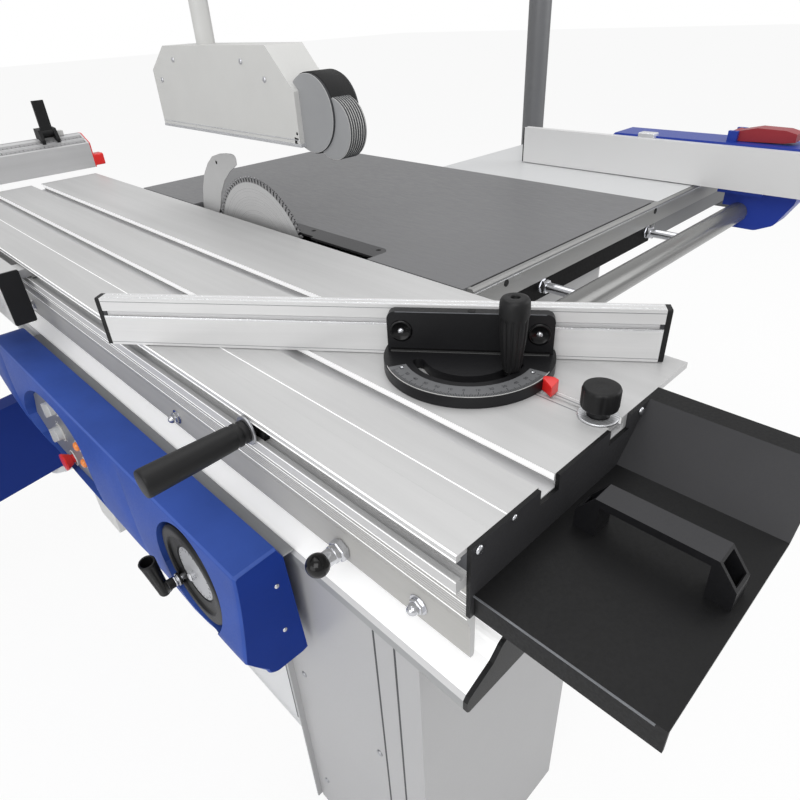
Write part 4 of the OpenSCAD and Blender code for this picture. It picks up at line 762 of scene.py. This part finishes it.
def blade():
    step = 360 / TEETH
    out = []
    for i in range(TEETH):
        a = i * step
        for r, k in ((147.4, 0.02), (146.6, 0.14), (148.2, 0.3), (156.6, 0.44), (156.9, 0.86), (149, 0.94)):
            out.append(polar(BLADE_AT, r, a + step * k))
    b.prism("x", BLADE_X - 1.1, BLADE_X + 1.1, out, [circle(BLADE_AT, BORE_R, 48)])
    # Faces not across the blade, the sides of teeth and gullets, take painted shade
    b.second_off_x()
    b.done("blade_disc", "arbor", "blade_steel", ("blade_steel", "gullet_painted_shade"), replaces="saw_blade")
    for i in range(TEETH):
        v = b.prism("x", -1.6, 1.6, [(153.2, -1), (157.5, -1.15), (157.2, 0.75), (153.4, 0.5)])
        b.move(v, about_x((i + 0.9) * step, (BLADE_X, *BLADE_AT)))
    b.done("blade_tips", "arbor", "blade_steel", "tip_metal")
    top = [(1055, 2), (1043, 35), (1024, 66), (1002, 88), (978, 104), (947, 112), (923, 115), (905, 116),
           (897, 115), (891.5, 112), (890, 108), (891, 97), (919, 82), (946, 62), (969, 35), (987, 0)]
    inner = arc(BLADE_AT, 164.5, 24, -62, 24)
    outer = [(922, -252), (1043, -252), (1043, -110), (1058, -90), (1060.5, -40)]
    b.prism("x", BLADE_X - 0.9, BLADE_X + 1.4, top + inner + outer, [circle(KNIFE_HOLE, 3.2, 16)])
    b.done("knife_plate", "rise", "steel", "knife_steel", 0.5, replaces="riving_knife")
    # A near-black plug in the knife's hole: painted shade
    b.disc(3.4, -0.85, 1.3, (BLADE_X, *KNIFE_HOLE), RIGHT, 24)
    b.done("knife_hole_shade", "rise", "steel", "hole_black")
    for x, y in ((418, 531), (418, 704), (418, 1045)):
        b.lathe([(0, -1.5), (4.6, -0.4), (4.6, 0.03), (2.6, 0.03), (2.2, -1.2)], (x, y, 0), UP, 24)
    b.done("insert_screws", "root", "steel", "hole_black")


# Rise handwheel with its dial, and the folding crank
WHEEL = (-72, 367, -245)
CRANK = (409, -279)


def handwheel():
    b.lathe([(38.6, 8.5), (39.2, 5.6), (41, 4.6), (54.4, 3.4), (55.8, 1.2), (57.6, 0.1), (66, 0.1),
             (70.2, 1.2), (72, 4.2), (72, 10.5), (69, 13), (30, 13), (22, 22), (10, 22), (10, 100)],
            WHEEL, RIGHT, 96)
    b.done("wheel_rim", "rise_wheel", "black_plastic", "rim_black", replaces="rise_handwheel")
    b.lathe([(38.2, 8.4), (38.2, 6.2), (37.2, 5.4), (12, 5.4), (10, 4.6)], WHEEL, RIGHT, 72)
    b.done("wheel_dial", "rise_wheel", "grey_plastic", "dial_grey")
    b.lathe([(5.6, 5), (5.6, -1.6), (4.8, -2.6)], WHEEL, RIGHT, 40)
    b.done("wheel_hub", "rise_wheel", "steel", "bright_alu")
    for i in range(24):
        v = b.block(5, -0.35, 32.6, 5.5, 0.35, 36.6 if i % 2 == 0 else 34.8)
        b.move(v, about_x(15 * i, WHEEL))
    b.done("wheel_dial_marks", "rise_wheel", "black_plastic", "panel_grey")
    stud = (0, *CRANK)
    b.lathe([(4, -84.6), (5, -83.8), (5, -66)], stud, RIGHT, 24)
    b.done("crank_stud", "rise_wheel", "steel", "chrome")
    b.hexagon(7.4, -82.6, -77.6, stud, RIGHT)
    b.disc(8.6, -77.8, -76.2, stud, RIGHT, 32)
    b.done("crank_nut", "crank", "steel", "chrome", 0.4, 1, 32)
    elbow = (CRANK[0] + 22.6, CRANK[1] - 24.6)
    b.lathe([(8.6, -76.4), (9, -75.6), (9, -73.6)], stud, RIGHT, 32)
    arm = [(CRANK[0] + y, CRANK[1] + z) for y, z in ((-5.5, -3.5), (-2, 6), (5.5, 3))]
    arm += [(elbow[0] + y, elbow[1] + z) for y, z in ((6, 3), (3, -6), (-6, -5))]
    b.prism("x", -91, -84.6, arm)
    b.disc(7.2, -91, -82, stud, RIGHT, 32)
    b.done("crank_arm", "crank", "black_plastic", bevel=1, replaces="crank_grip")
    prof = [(4.5, -8), (7, -6.4), (7.8, -4), (8.2, 4), (9.4, 30), (10.6, 52), (11, 57), (11, 60.8),
            (10.4, 61.8), (8.9, 61.8), (8.3, 60.8), (8.1, 38)]
    b.lathe(prof, (-92, *elbow), (-0.138, -0.05, 0.989), 48, 8, 0.8, (4, 57))
    b.done("crank_handle", "crank", "black_plastic")


# Tilt handwheel on the front wall
def tilt_wheel():
    hub = (560, 265.5, -330)
    b.ring(52, 70, -1.2, 0.4, hub, AWAY, 72)
    b.done("tilt_wheel_band", "tilt_wheel", "black_plastic", bevel=0.6, angle=32)
    b.lathe([(39, 7), (39, 5.4), (37, 4.8), (20, 4.8), (17, 2.4), (0, 2)], hub, AWAY, 64)
    b.done("tilt_wheel_dial", "tilt_wheel", "grey_plastic", "dial_grey")
    prof = [(7.5, -31), (9.6, -29), (10.2, -24), (9.4, -14), (9.9, -6), (9.2, 0.5)]
    b.lathe(prof, (hub[0], hub[1], hub[2] + 60), AWAY, 36)
    b.done("tilt_wheel_grip", "tilt_wheel", "black_plastic")


# Blue shell: sections along the feed, crowned between two creases, then cut for the wheel and the controls
HOUSE = (250, 1175, -345, -160)
END_FROM = 480
END_LONG = 230
ROUND_TOP = 80
ROUND_LOW = 100
CREASES = ((545, 34), (1072, 26))
LEAN_AT = 137
LEAN_IN = 13
LEAN_OUT = 34
WELL_R = 76.5
PANEL_X = -60
STOP = (848, -318)
KNOBS = ((845, -208), (870, -272))
LAMPS = ((775, -255), (768, -286))
INLET = (-28, 697.5, -373)
DROP = [(686, -222), (745, -187), (842, -182), (914, -197), (985, -240), (1030, -300),
        (968, -337), (863, -338), (745, -328), (688, -322)]


def smooth_loop(points, steps):
    """A closed curve through points."""
    out = []
    n = len(points)
    for i in range(n):
        p0, p1, p2, p3 = (points[(i + k - 1) % n] for k in range(4))
        for s in range(steps):
            t = s / steps
            out.append(tuple(0.5 * (2 * p1[c] + (p2[c] - p0[c]) * t
                                    + (2 * p0[c] - 5 * p1[c] + 4 * p2[c] - p3[c]) * t * t
                                    + (3 * p1[c] - p0[c] - 3 * p2[c] + p3[c]) * t ** 3) for c in range(2)))
    return out


def shell_section(y):
    """Outline of the shell across the feed. Its operator's end leans out towards the bottom."""
    y0, y1, zb, zt = HOUSE
    inset = max(0, 3.2 - (y - y0)) * 0.9
    near = min(1, max(0, (END_FROM - y) / END_LONG))
    near = near * near * (3 - 2 * near)
    top = zt
    low = zb - 5 * near
    if y > y1 - ROUND_TOP:
        top = zt - ROUND_TOP + sqrt(max(0, ROUND_TOP ** 2 - (y - y1 + ROUND_TOP) ** 2))
    if y > y1 - ROUND_LOW:
        low = zb + ROUND_LOW - sqrt(max(0, ROUND_LOW ** 2 - (y - y1 + ROUND_LOW) ** 2))
    top -= inset
    low += inset
    crown = 7 * min(1, (y - y0) / 150)
    for c, w in CREASES:
        d = abs(y - c)
        if d < w:
            crown *= 0.12 + 0.88 * sin(0.5 * pi * d / w)
    half = (top - low) / 2
    mid = (top + low) / 2
    r = min(14, half * 0.6)
    k_top = min(4, half * 0.4)
    front = -69.5 + 2.5 * near + inset
    edge = top - 4 * near

    def face(z):
        u = max(-1, min(1, (z - mid) / (half - 0.5 * (r + k_top))))
        x = front - crown * (1 - u * u) ** 0.8
        k = (top - z) / LEAN_AT
        if k <= 1:
            return x - LEAN_IN * near * max(0, k) ** 1.6
        return x - LEAN_IN * near + LEAN_OUT * near * near * (k - 1) / max(0.01, (top - low) / LEAN_AT - 1)
    quarter = [polar((0, 0), 1, a) for a in range(0, 91, 15)]
    c = face(low + r) + r
    pts = [(2.9, low + 2), (-5, low)]
    pts += [(c - r * sa, low + r - r * ca) for ca, sa in quarter]
    for k in range(1, 14):
        z = low + r + (edge - k_top - low - r) * k / 14
        pts.append((face(z), z))
    c = face(edge - k_top) + k_top
    pts += [(c - k_top * ca, edge - k_top + k_top * sa) for ca, sa in quarter]
    pts += [(-12, top), (-5, top - min(16, half * 0.4))]
    return pts


def shell():
    ys = [250, 250.8, 252, 253.2, 260, 275, 300, 335, 367, 400, 440, 475, 505, 522, 532, 540, 545, 550, 558,
          568, 585, 620, 665, 720, 790, 860, 930, 985, 1025, 1046, 1058, 1066, 1072, 1078, 1086, 1098, 1112,
          1128, 1142, 1154, 1163, 1169, 1173]
    loops = [[b.bm.verts.new((p[0], y, p[1])) for p in shell_section(y)] for y in ys]
    n = len(loops[0])
    for a, c in zip(loops, loops[1:]):
        for i in range(n):
            j = (i + 1) % n
            b.face([a[i], a[j], c[j], c[i]])
    b.face(loops[0])
    b.face(loops[-1])
    body = b.done("shell_body", "root", "blue_shell", replaces="control_housing")
    b.disc(WELL_R, 0, 58, (-101.5, *WHEEL[1:]), RIGHT, 96)
    b.prism("x", -100, -57, smooth_loop(DROP, 6))
    b.disc(13, 0, 70, (PANEL_X, *WHEEL[1:]), RIGHT, 32)
    for place, r in ((STOP, 10.5), (KNOBS[0], 8), (KNOBS[1], 8)):
        b.disc(r, 0, 30, (PANEL_X, *place), RIGHT, 24)
    b.block(PANEL_X, 714, -321, -30, 732, -279)
    cut = b.done("shell_cut", "root", "blue_shell")
    for o in (body, cut):
        o.modifiers.clear()
    k = body.modifiers.new("cut", "BOOLEAN")
    k.operation = "DIFFERENCE"
    k.solver = "EXACT"
    k.use_self = True
    k.object = cut
    me = worked_out(body)
    body.modifiers.clear()
    body.data = me
    bpy.data.objects.remove(cut)
    me.materials.clear()
    for m in ("blue_shell", "blue_painted_highlight", "blue_painted_shade"):
        me.materials.append(M[m])
    # Painted highlight on faces along the rounded top edges, and painted shade on the face of the operator's
    # end
    for p in me.polygons:
        n = p.normal
        light = (n.x < -0.35 and n.z > 0.45) or (n.y < -0.35 and n.z > 0.35)
        p.material_index = 1 if light else 2 if n.y < -0.9 and p.center.y < at(0, 255, 0).y else 0
    round_edges(body, 2, 3, 48)
    for px, pz in ((-20.2, -213.4), (-22.2, -288)):
        b.dome(3.3, 2.2, (px, 250.3, pz), NEAR)
    b.done("shell_screws", "root", "steel", "chrome")
    # A flange behind the shell in the beam's shaded grey: painted shade
    b.prism("z", -180, -177, [(-4.5, 251), (9.9, 251), (9.9, 1095), (-4.5, 1095)])
    b.done("shell_flange_painted_shade", "root", "pale_paint", "beam_side", 0.5, 1)
    for place in LAMPS:
        b.lathe([(8.2, 0), (8.2, 3.5), (7.4, 6.2), (4.5, 8), (0, 8.6)], (PANEL_X, *place), LEFT, 28)
    b.done("lamp_lenses", "root", "red_plastic", "lamp_orange")
    for place, r in zip(LAMPS + (STOP,) + KNOBS, (8.2, 8.2, 13, 15, 15)):
        b.ring(r + 0.2, r + 2.6, 0, 2, (PANEL_X, *place), LEFT, 36)
    b.done("control_bezels", "root", "grey_plastic", "pale_plastic", 0.5)
    for place in KNOBS:
        for i in range(7):
            v = b.block(PANEL_X - 0.35, -0.7, 19.2, PANEL_X, 0.7, 23)
            b.move(v, about_x(-120 + 40 * i, (0, *place)))
    b.done("control_marks", "root", "grey_plastic", "white_mark")
    b.prism("x", -64.5, 2.5, round_box((697, -403), (780, -343), 9, 5))
    b.done("inlet_cover", "root", "grey_plastic", "pale_plastic", 3, 3)
    b.hexagon(14, 0, 7, INLET, NEAR)
    prof = [(11, 6), (12, 8), (12, 17), (10, 21), (6.5, 22), (6.2, 18)]
    b.lathe(prof, INLET, NEAR, 32)
    b.done("inlet_gland", "root", "black_plastic", "dark_plastic", 0.4, 1, 32)


# Sliding table: screws, nuts, painted highlights on the slot lips and edges, painted light and shade in the
# slots, push handle and plunger
NUT_X = 18
LOCK = (165, -121)
BALL_AT = (-14, *LOCK)
BALL_R = 12.5
PUSH_AT = (-4.5, 274, -17)


def line(x0, x1, z0, z1):
    """A strip along nearly the whole sliding table."""
    b.block(x0, 0.2, z0, x1, 1599.8, z1)


def slide_details():
    for x, z, r in ((21.2, -5.8, 4.2), (265.7, -5.6, 4.2), (64, -4.2, 3.2), (292, -40, 4.2)):
        b.dome(r, r * 0.66, (x, -4, z), NEAR)
    for y in (59, 510, 1090, 1541):
        b.hexagon(8.4, 0, 5.5, (NUT_X, y, -117), LEFT)
        b.dome(6.2, 8.5, (12.8, y, -117), LEFT)
        b.disc(10.5, 0, 1.4, (NUT_X, y, -117), LEFT, 32)
    b.done("slide_screws", "table", "steel", "chrome", 0.3, 1)
    b.hexagon(12.5, 0, 9.5, (NUT_X, *LOCK), LEFT)
    b.lathe([(9.8, 9), (9.8, 14), (8.8, 15)], (NUT_X, *LOCK), LEFT, 32)
    b.done("plunger_nut", "table", "steel", "chrome", 0.4, 1)
    ball = arc((0, 0), BALL_R, -90, 90, 20)
    b.lathe(ball, BALL_AT, RIGHT, 40)
    b.done("plunger_ball", "plunger", "black_plastic", "gloss_black", replaces="lock_plunger")
    b.lathe([(8.6, -2), (8.8, 0), (8.8, 58)], BALL_AT, RIGHT, 32)
    b.done("plunger_pin", "plunger", "steel", "chrome")
    prof = [(11.6, 0), (12.4, 1.5), (12.4, 4.5), (11.4, 5.5), (11.4, 7.5), (12.6, 8.6), (12.6, 12),
            (11.8, 13), (11.8, 15), (12.8, 16.2), (13.1, 26), (13.6, 44), (14, 64), (14.4, 86), (14.7, 106),
            (14.5, 108.4), (13.6, 109.8), (0, 110.2)]
    b.lathe(prof, PUSH_AT, (-1, 0, -0.012), 56)
    b.block(5.6, 260, -29, 13.1, 288, -5.5)
    b.disc(8, -12, 1, PUSH_AT, LEFT, 24)
    b.done("push_grip", "handle", "black_plastic", replaces="push_handle")
    b.lathe([(15.6, -2.6), (16, -2), (16, -0.6), (15.4, 0.3)], PUSH_AT, LEFT, 40)
    b.done("push_washer", "handle", "steel")
    # Painted highlights: glowing white strips on the slots' far walls and along the deck's edges
    for x in (124.5, 235):
        line(x - 0.3, x + 0.05, -6.9, -0.15)
    line(-0.25, 0.1, -6.6, -4.9)
    line(-0.1, 1.5, -0.5, 0.12)
    line(59, 61, -0.99, -0.7)
    b.done("slot_lip_highlights", "table", "bright_alu", "white_edge")
    # Lighter strips on the slots' floors and far walls: painted light against their shade
    for x0, x1 in ((95.7, 130.3), (206.2, 240.8)):
        line(x0, x1, -15.1, -14.8)
        line(x1 - 0.1, x1 + 0.1, -15, -7.1)
    b.done("slot_floors_painted_light", "table", "table_alu", "slot_grey")
    # A dark strip in the side slot: painted shadow
    line(13.1, 13.45, -26, -5)
    b.done("side_slot_painted_shadow", "table", "table_alu", "dark_plastic")
    line(37.8, 38.2, 0, 0.06)
    b.done("slide_lines", "table", "table_alu", "satin_alu")
    # Glowing white lines on the apron and the table's edge: painted highlights
    for z in (-53.6, -65.6, -82.6):
        x = 13.3 if z > -75 else 13.5
        line(x, x + 0.5, z - 0.5, z + 0.5)
    line(-0.25, 0.1, -40.2, -39.2)
    line(-0.25, 0.1, -28.4, -27.4)
    b.done("slide_edge_highlights", "table", "bright_alu", "white_edge")
    # Lighter thin lines on the apron: painted highlights on its fine ridges
    for z in (-56.4, -59, -61.6, -68.6, -71.6, -74.6, -77.6):
        line(13.3, 13.7, z - 0.35, z + 0.35)
    b.done("slide_fine_highlights", "table", "bright_alu", "slot_grey")


def tray_details():
    # A light strip along the tray's folded edge: painted highlight
    b.block(14.8, -150, -52.3, 16.6, -4, -51.7)
    b.done("tray_edge_highlight", "table", "black_paint", "worn_edge", 0.2)
    for y in (-140, -28):
        b.ring(3, 6.2, 0, 2.4, (145, y, -49.2), UP, 32)
        b.dome(2.8, 1.8, (145, y, -49.2))
    b.done("tray_handle_screws", "table", "steel", bevel=0.3)


# Crosscut fence: scales on its slope, a red end and the stop's lens
SLOPE = (44 / 48.75, 21 / 48.75)
SLOPE_FOOT = (1606, 74)


def on_slope(x0, x1, s0, s1, h0, h1):
    """A strip on the fence's slope: along x, up the slope from its foot, and off its face."""
    (y, z), (c, k) = SLOPE_FOOT, SLOPE
    corners = ((s0, h0), (s1, h0), (s1, h1), (s0, h1))
    b.prism("x", x0, x1, [(y + c * s - k * h, z + k * s + c * h) for s, h in corners])


def fence_details():
    on_slope(-860, 378, 5, 18, -0.1, 0.35)
    on_slope(-860, 378, 26, 39, -0.1, 0.35)
    b.done("fence_scales", "crosscut", "bright_alu", "scale_strip")
    for s0 in (5, 26):
        for i in range(122):
            x = 376 - 10 * i
            on_slope(x - 0.7, x + 0.7, s0 + 0.5, s0 + (9 if i % 5 == 0 else 6), 0.3, 0.5)
            if i < 40:
                on_slope(x - 5.3, x - 4.7, s0 + 0.5, s0 + 3, 0.3, 0.5)
    b.done("fence_marks", "crosscut", "black_plastic", "hole_black")
    # A dark strip along the slope: painted shade of a groove
    on_slope(-860, 382, 21, 22.4, -0.4, 0.2)
    b.done("fence_grooves", "crosscut", "bright_alu", "groove_alu")
    outline = [(1606, 14), (1666, 14), (1666, 95), (1650, 95), (1606, 74)]
    inner = [(1609.5, 17.5), (1609.5, 71.5), (1650.8, 91.5), (1662.5, 91.5), (1662.5, 17.5)]
    b.prism("x", 383, 386, outline, [inner])
    b.done("fence_end_frame", "crosscut", "red_plastic", bevel=0.5)
    b.prism("x", 382.8, 384.4, [(1609, 17), (1663, 17), (1663, 92), (1651, 92), (1609, 72)])
    b.done("fence_end_plate", "crosscut", "grey_plastic", "dark_plastic")
    b.prism("x", 384, 411, round_box((1606.5, 17), (1640, 45), 4, 4))
    b.done("fence_end_block", "crosscut", "red_plastic", bevel=1.6, segments=3)
    b.block(324, 1648, 95.4, 342, 1664, 108)
    b.done("stop_lens_holder", "stop", "grey_plastic", "pale_plastic", 1.2)


# Guard hood: knuckle, ribbed end and lower edges
def hood_details():
    x = BLADE_X
    nose = (x, 607, 206)
    drum = (x, 565, 188)
    b.lathe([(53.4, -26.3), (54.3, -25.4), (54.3, 25.4), (53.4, 26.3)], nose, RIGHT, 80)
    b.second_off_x()
    b.done("hood_nose", "hood", "grey_plastic", ("grey_plastic", "drum_grey"))
    # A near-black drum in the nose's gap: painted shade
    b.disc(56, -21.5, 21.5, nose, RIGHT, 80)
    b.done("hood_nose_gap_shade", "hood", "grey_plastic", "hole_black")
    prof = [(41.5, -21)]
    for k in range(7):
        t = -20.6 + 4.3 * k
        prof += [(43.4, t), (43.4, t + 2.6), (41.6, t + 3.1), (41.6, t + 4)]
    prof += [(43.4, 9.4), (41, 10.4)]
    b.lathe(prof, drum, RIGHT, 80)
    b.done("hood_drum", "hood", "grey_plastic", "drum_grey")
    b.lathe([(41.6, -21.9), (42.4, -21.3), (42.4, -20.6)], drum, RIGHT, 64)
    b.done("hood_drum_face", "hood", "grey_plastic")
    for side in (-1, 1):
        for out, z0, z1 in ((36.4, 158.6, 163.5), (35.6, 168, 169.6)):
            x0, x1 = sorted((x + side * 34.6, x + side * out))
            b.block(x0, 628, z0, x1, 1075, z1)
    b.block(x - 36, 624.8, 158.6, x + 36, 628, 163.5)
    b.done("hood_lower_edge", "hood", "pale_paint", "bright_alu", 0.5)
    # A near-black sheet and disc for the notch and its hole: painted shade
    notch = [(640, 172.4), (640, 158.8), (631, 158.8), (631, 162), (636, 166), (630, 171)]
    b.prism("x", x - 35.5, x - 34.6, notch)
    b.disc(2.2, 34.6, 35.4, (x, 632.5, 178), LEFT, 16)
    b.done("hood_notch_shade", "hood", "black_plastic", "hole_black")
    for y, z in ((700, 250), (760, 274), (985, 274), (1045, 240)):
        for side in (-1, 1):
            b.dome(4.4, 2.6, (x + side * 35, y, z), (side, 0, 0))
    b.done("hood_screws", "hood", "steel", "chrome")


# Rails, cabinet and rip fence
SCREW = (5, 2.6)
SIDE_X = 783
DOOR_Y = 1256.3
PORT = (300, 1252.5, -700)


def body_details():
    # Near-black discs on the rail for its bolt holes: painted shade
    for x in (462, 925):
        b.disc(5.4, 0, 0.5, (x, 304, -14), NEAR, 24)
    b.done("rail_hole_shades", "root", "black_plastic", "hole_black")
    # A dark strip on the rail's face: painted shade of a groove
    b.block(389, 303.85, -6.2, 1505, 304.15, -5)
    b.done("rail_groove_shade", "root", "bright_alu", "groove_alu")
    # A light strip below it: painted highlight
    b.block(389, 303.8, -8.4, 1505, 304.15, -7)
    b.done("rail_highlight_line", "root", "bright_alu", "edge_alu")
    # A near-black strip in the gap between the cast table and the rail: painted shade
    b.block(394, 313.4, -1.05, 924, 315.95, -0.9)
    b.done("table_seam_shade", "root", "black_plastic", "hole_black")
    for y in (125.5, 93.5):
        b.block(14.8, y, -850, 15.05, y + 3, -205.5)
    b.block(2.8, 327, -598, 3.05, 329, -352)
    b.done("pedestal_seams", "root", "panel_grey", "dark_mark")
    for z in (-770, -470):
        for y in (140, 300):
            b.dome(*SCREW, (15, y, z), LEFT)
    for y in (400, 700, 1000, 1200):
        for z in (-110, -820):
            b.dome(*SCREW, (SIDE_X, y, z), RIGHT)
    for x in (440, 720):
        for z in (-200, -780):
            b.dome(*SCREW, (x, PORT[1], z), AWAY)
    for x in (440, 740):
        for z in (-160, -800):
            b.dome(*SCREW, (x, 327.5, z), NEAR)
    b.done("cabinet_screws", "root", "steel")
    for k in range(7):
        z = -420 - 26 * k
        b.prism("y", 560, 1010, [(SIDE_X, z), (790, z - 4), (790.5, z - 12), (SIDE_X, z - 13)])
    b.done("side_louvres", "root", "pale_paint", bevel=0.8, angle=30)
    for k in range(6):
        z = -420 - 24 * k
        b.prism("x", 480, 680, [(DOOR_Y, z), (1262, z - 4), (1262.5, z - 11), (DOOR_Y, z - 12)])
    b.done("door_louvres", "door", "pale_paint", bevel=0.8, angle=30)
    b.ring(60.4, 76, 0, 3, PORT, AWAY, 64)
    b.done("port_flange", "root", "steel", bevel=0.6, angle=32)
    for k in range(6):
        x, z = polar((PORT[0], PORT[2]), 68.5, 60 * k + 30)
        b.dome(3.4, 2.2, (x, PORT[1] + 3, z), AWAY)
    b.done("port_screws", "root", "steel", "chrome")
    b.block(1085.2, 0.5, 2.2, 1101, 726.5, 3.6)
    b.done("rip_plate_foot", "rip_face", "black_plastic", "dark_mark")
    for s in (-0.4, 726.9):
        b.prism("y", s - 1.4, s + 1.4, round_box((1084.7, 1.8), (1101.3, 80.2), 1.6, 3))
    b.done("rip_plate_caps", "rip_face", "black_plastic", bevel=0.5, angle=32)
    for y in (120, 440):
        b.hexagon(8, 0, 6, (1180, y, 50), RIGHT)
    b.done("rip_bolts", "rip", "steel", "chrome", 0.4, 1, 32)
    b.block(1090, 407, 79.6, 1112, 442, 90)
    b.done("rip_clamp_block", "rip_face", "bright_alu", "edge_alu", 1.6)
    for x0, x1 in ((392.6, 397.5), (1502.6, 1507.5)):
        b.lathe([(18.8, x0), (19.7, x0 + 0.8), (19.7, x1 - 0.8), (18.8, x1)], (0, 225, -50), RIGHT, 48)
    b.done("round_rail_caps", "root", "black_plastic")
    for x in (-751, -33):
        for y0, y1 in ((936, 940.2), (1639.8, 1644)):
            b.prism("y", y0, y1, round_box((x - 17.2, -90.4), (x + 17.2, 0.4), 3, 4))
    b.done("outrigger_caps", "outrigger", "black_plastic", bevel=1)


for draw in (gauge_head, gauge_rest, blade, handwheel, tilt_wheel, shell, slide_details, tray_details,
             fence_details, hood_details, body_details):
    draw()
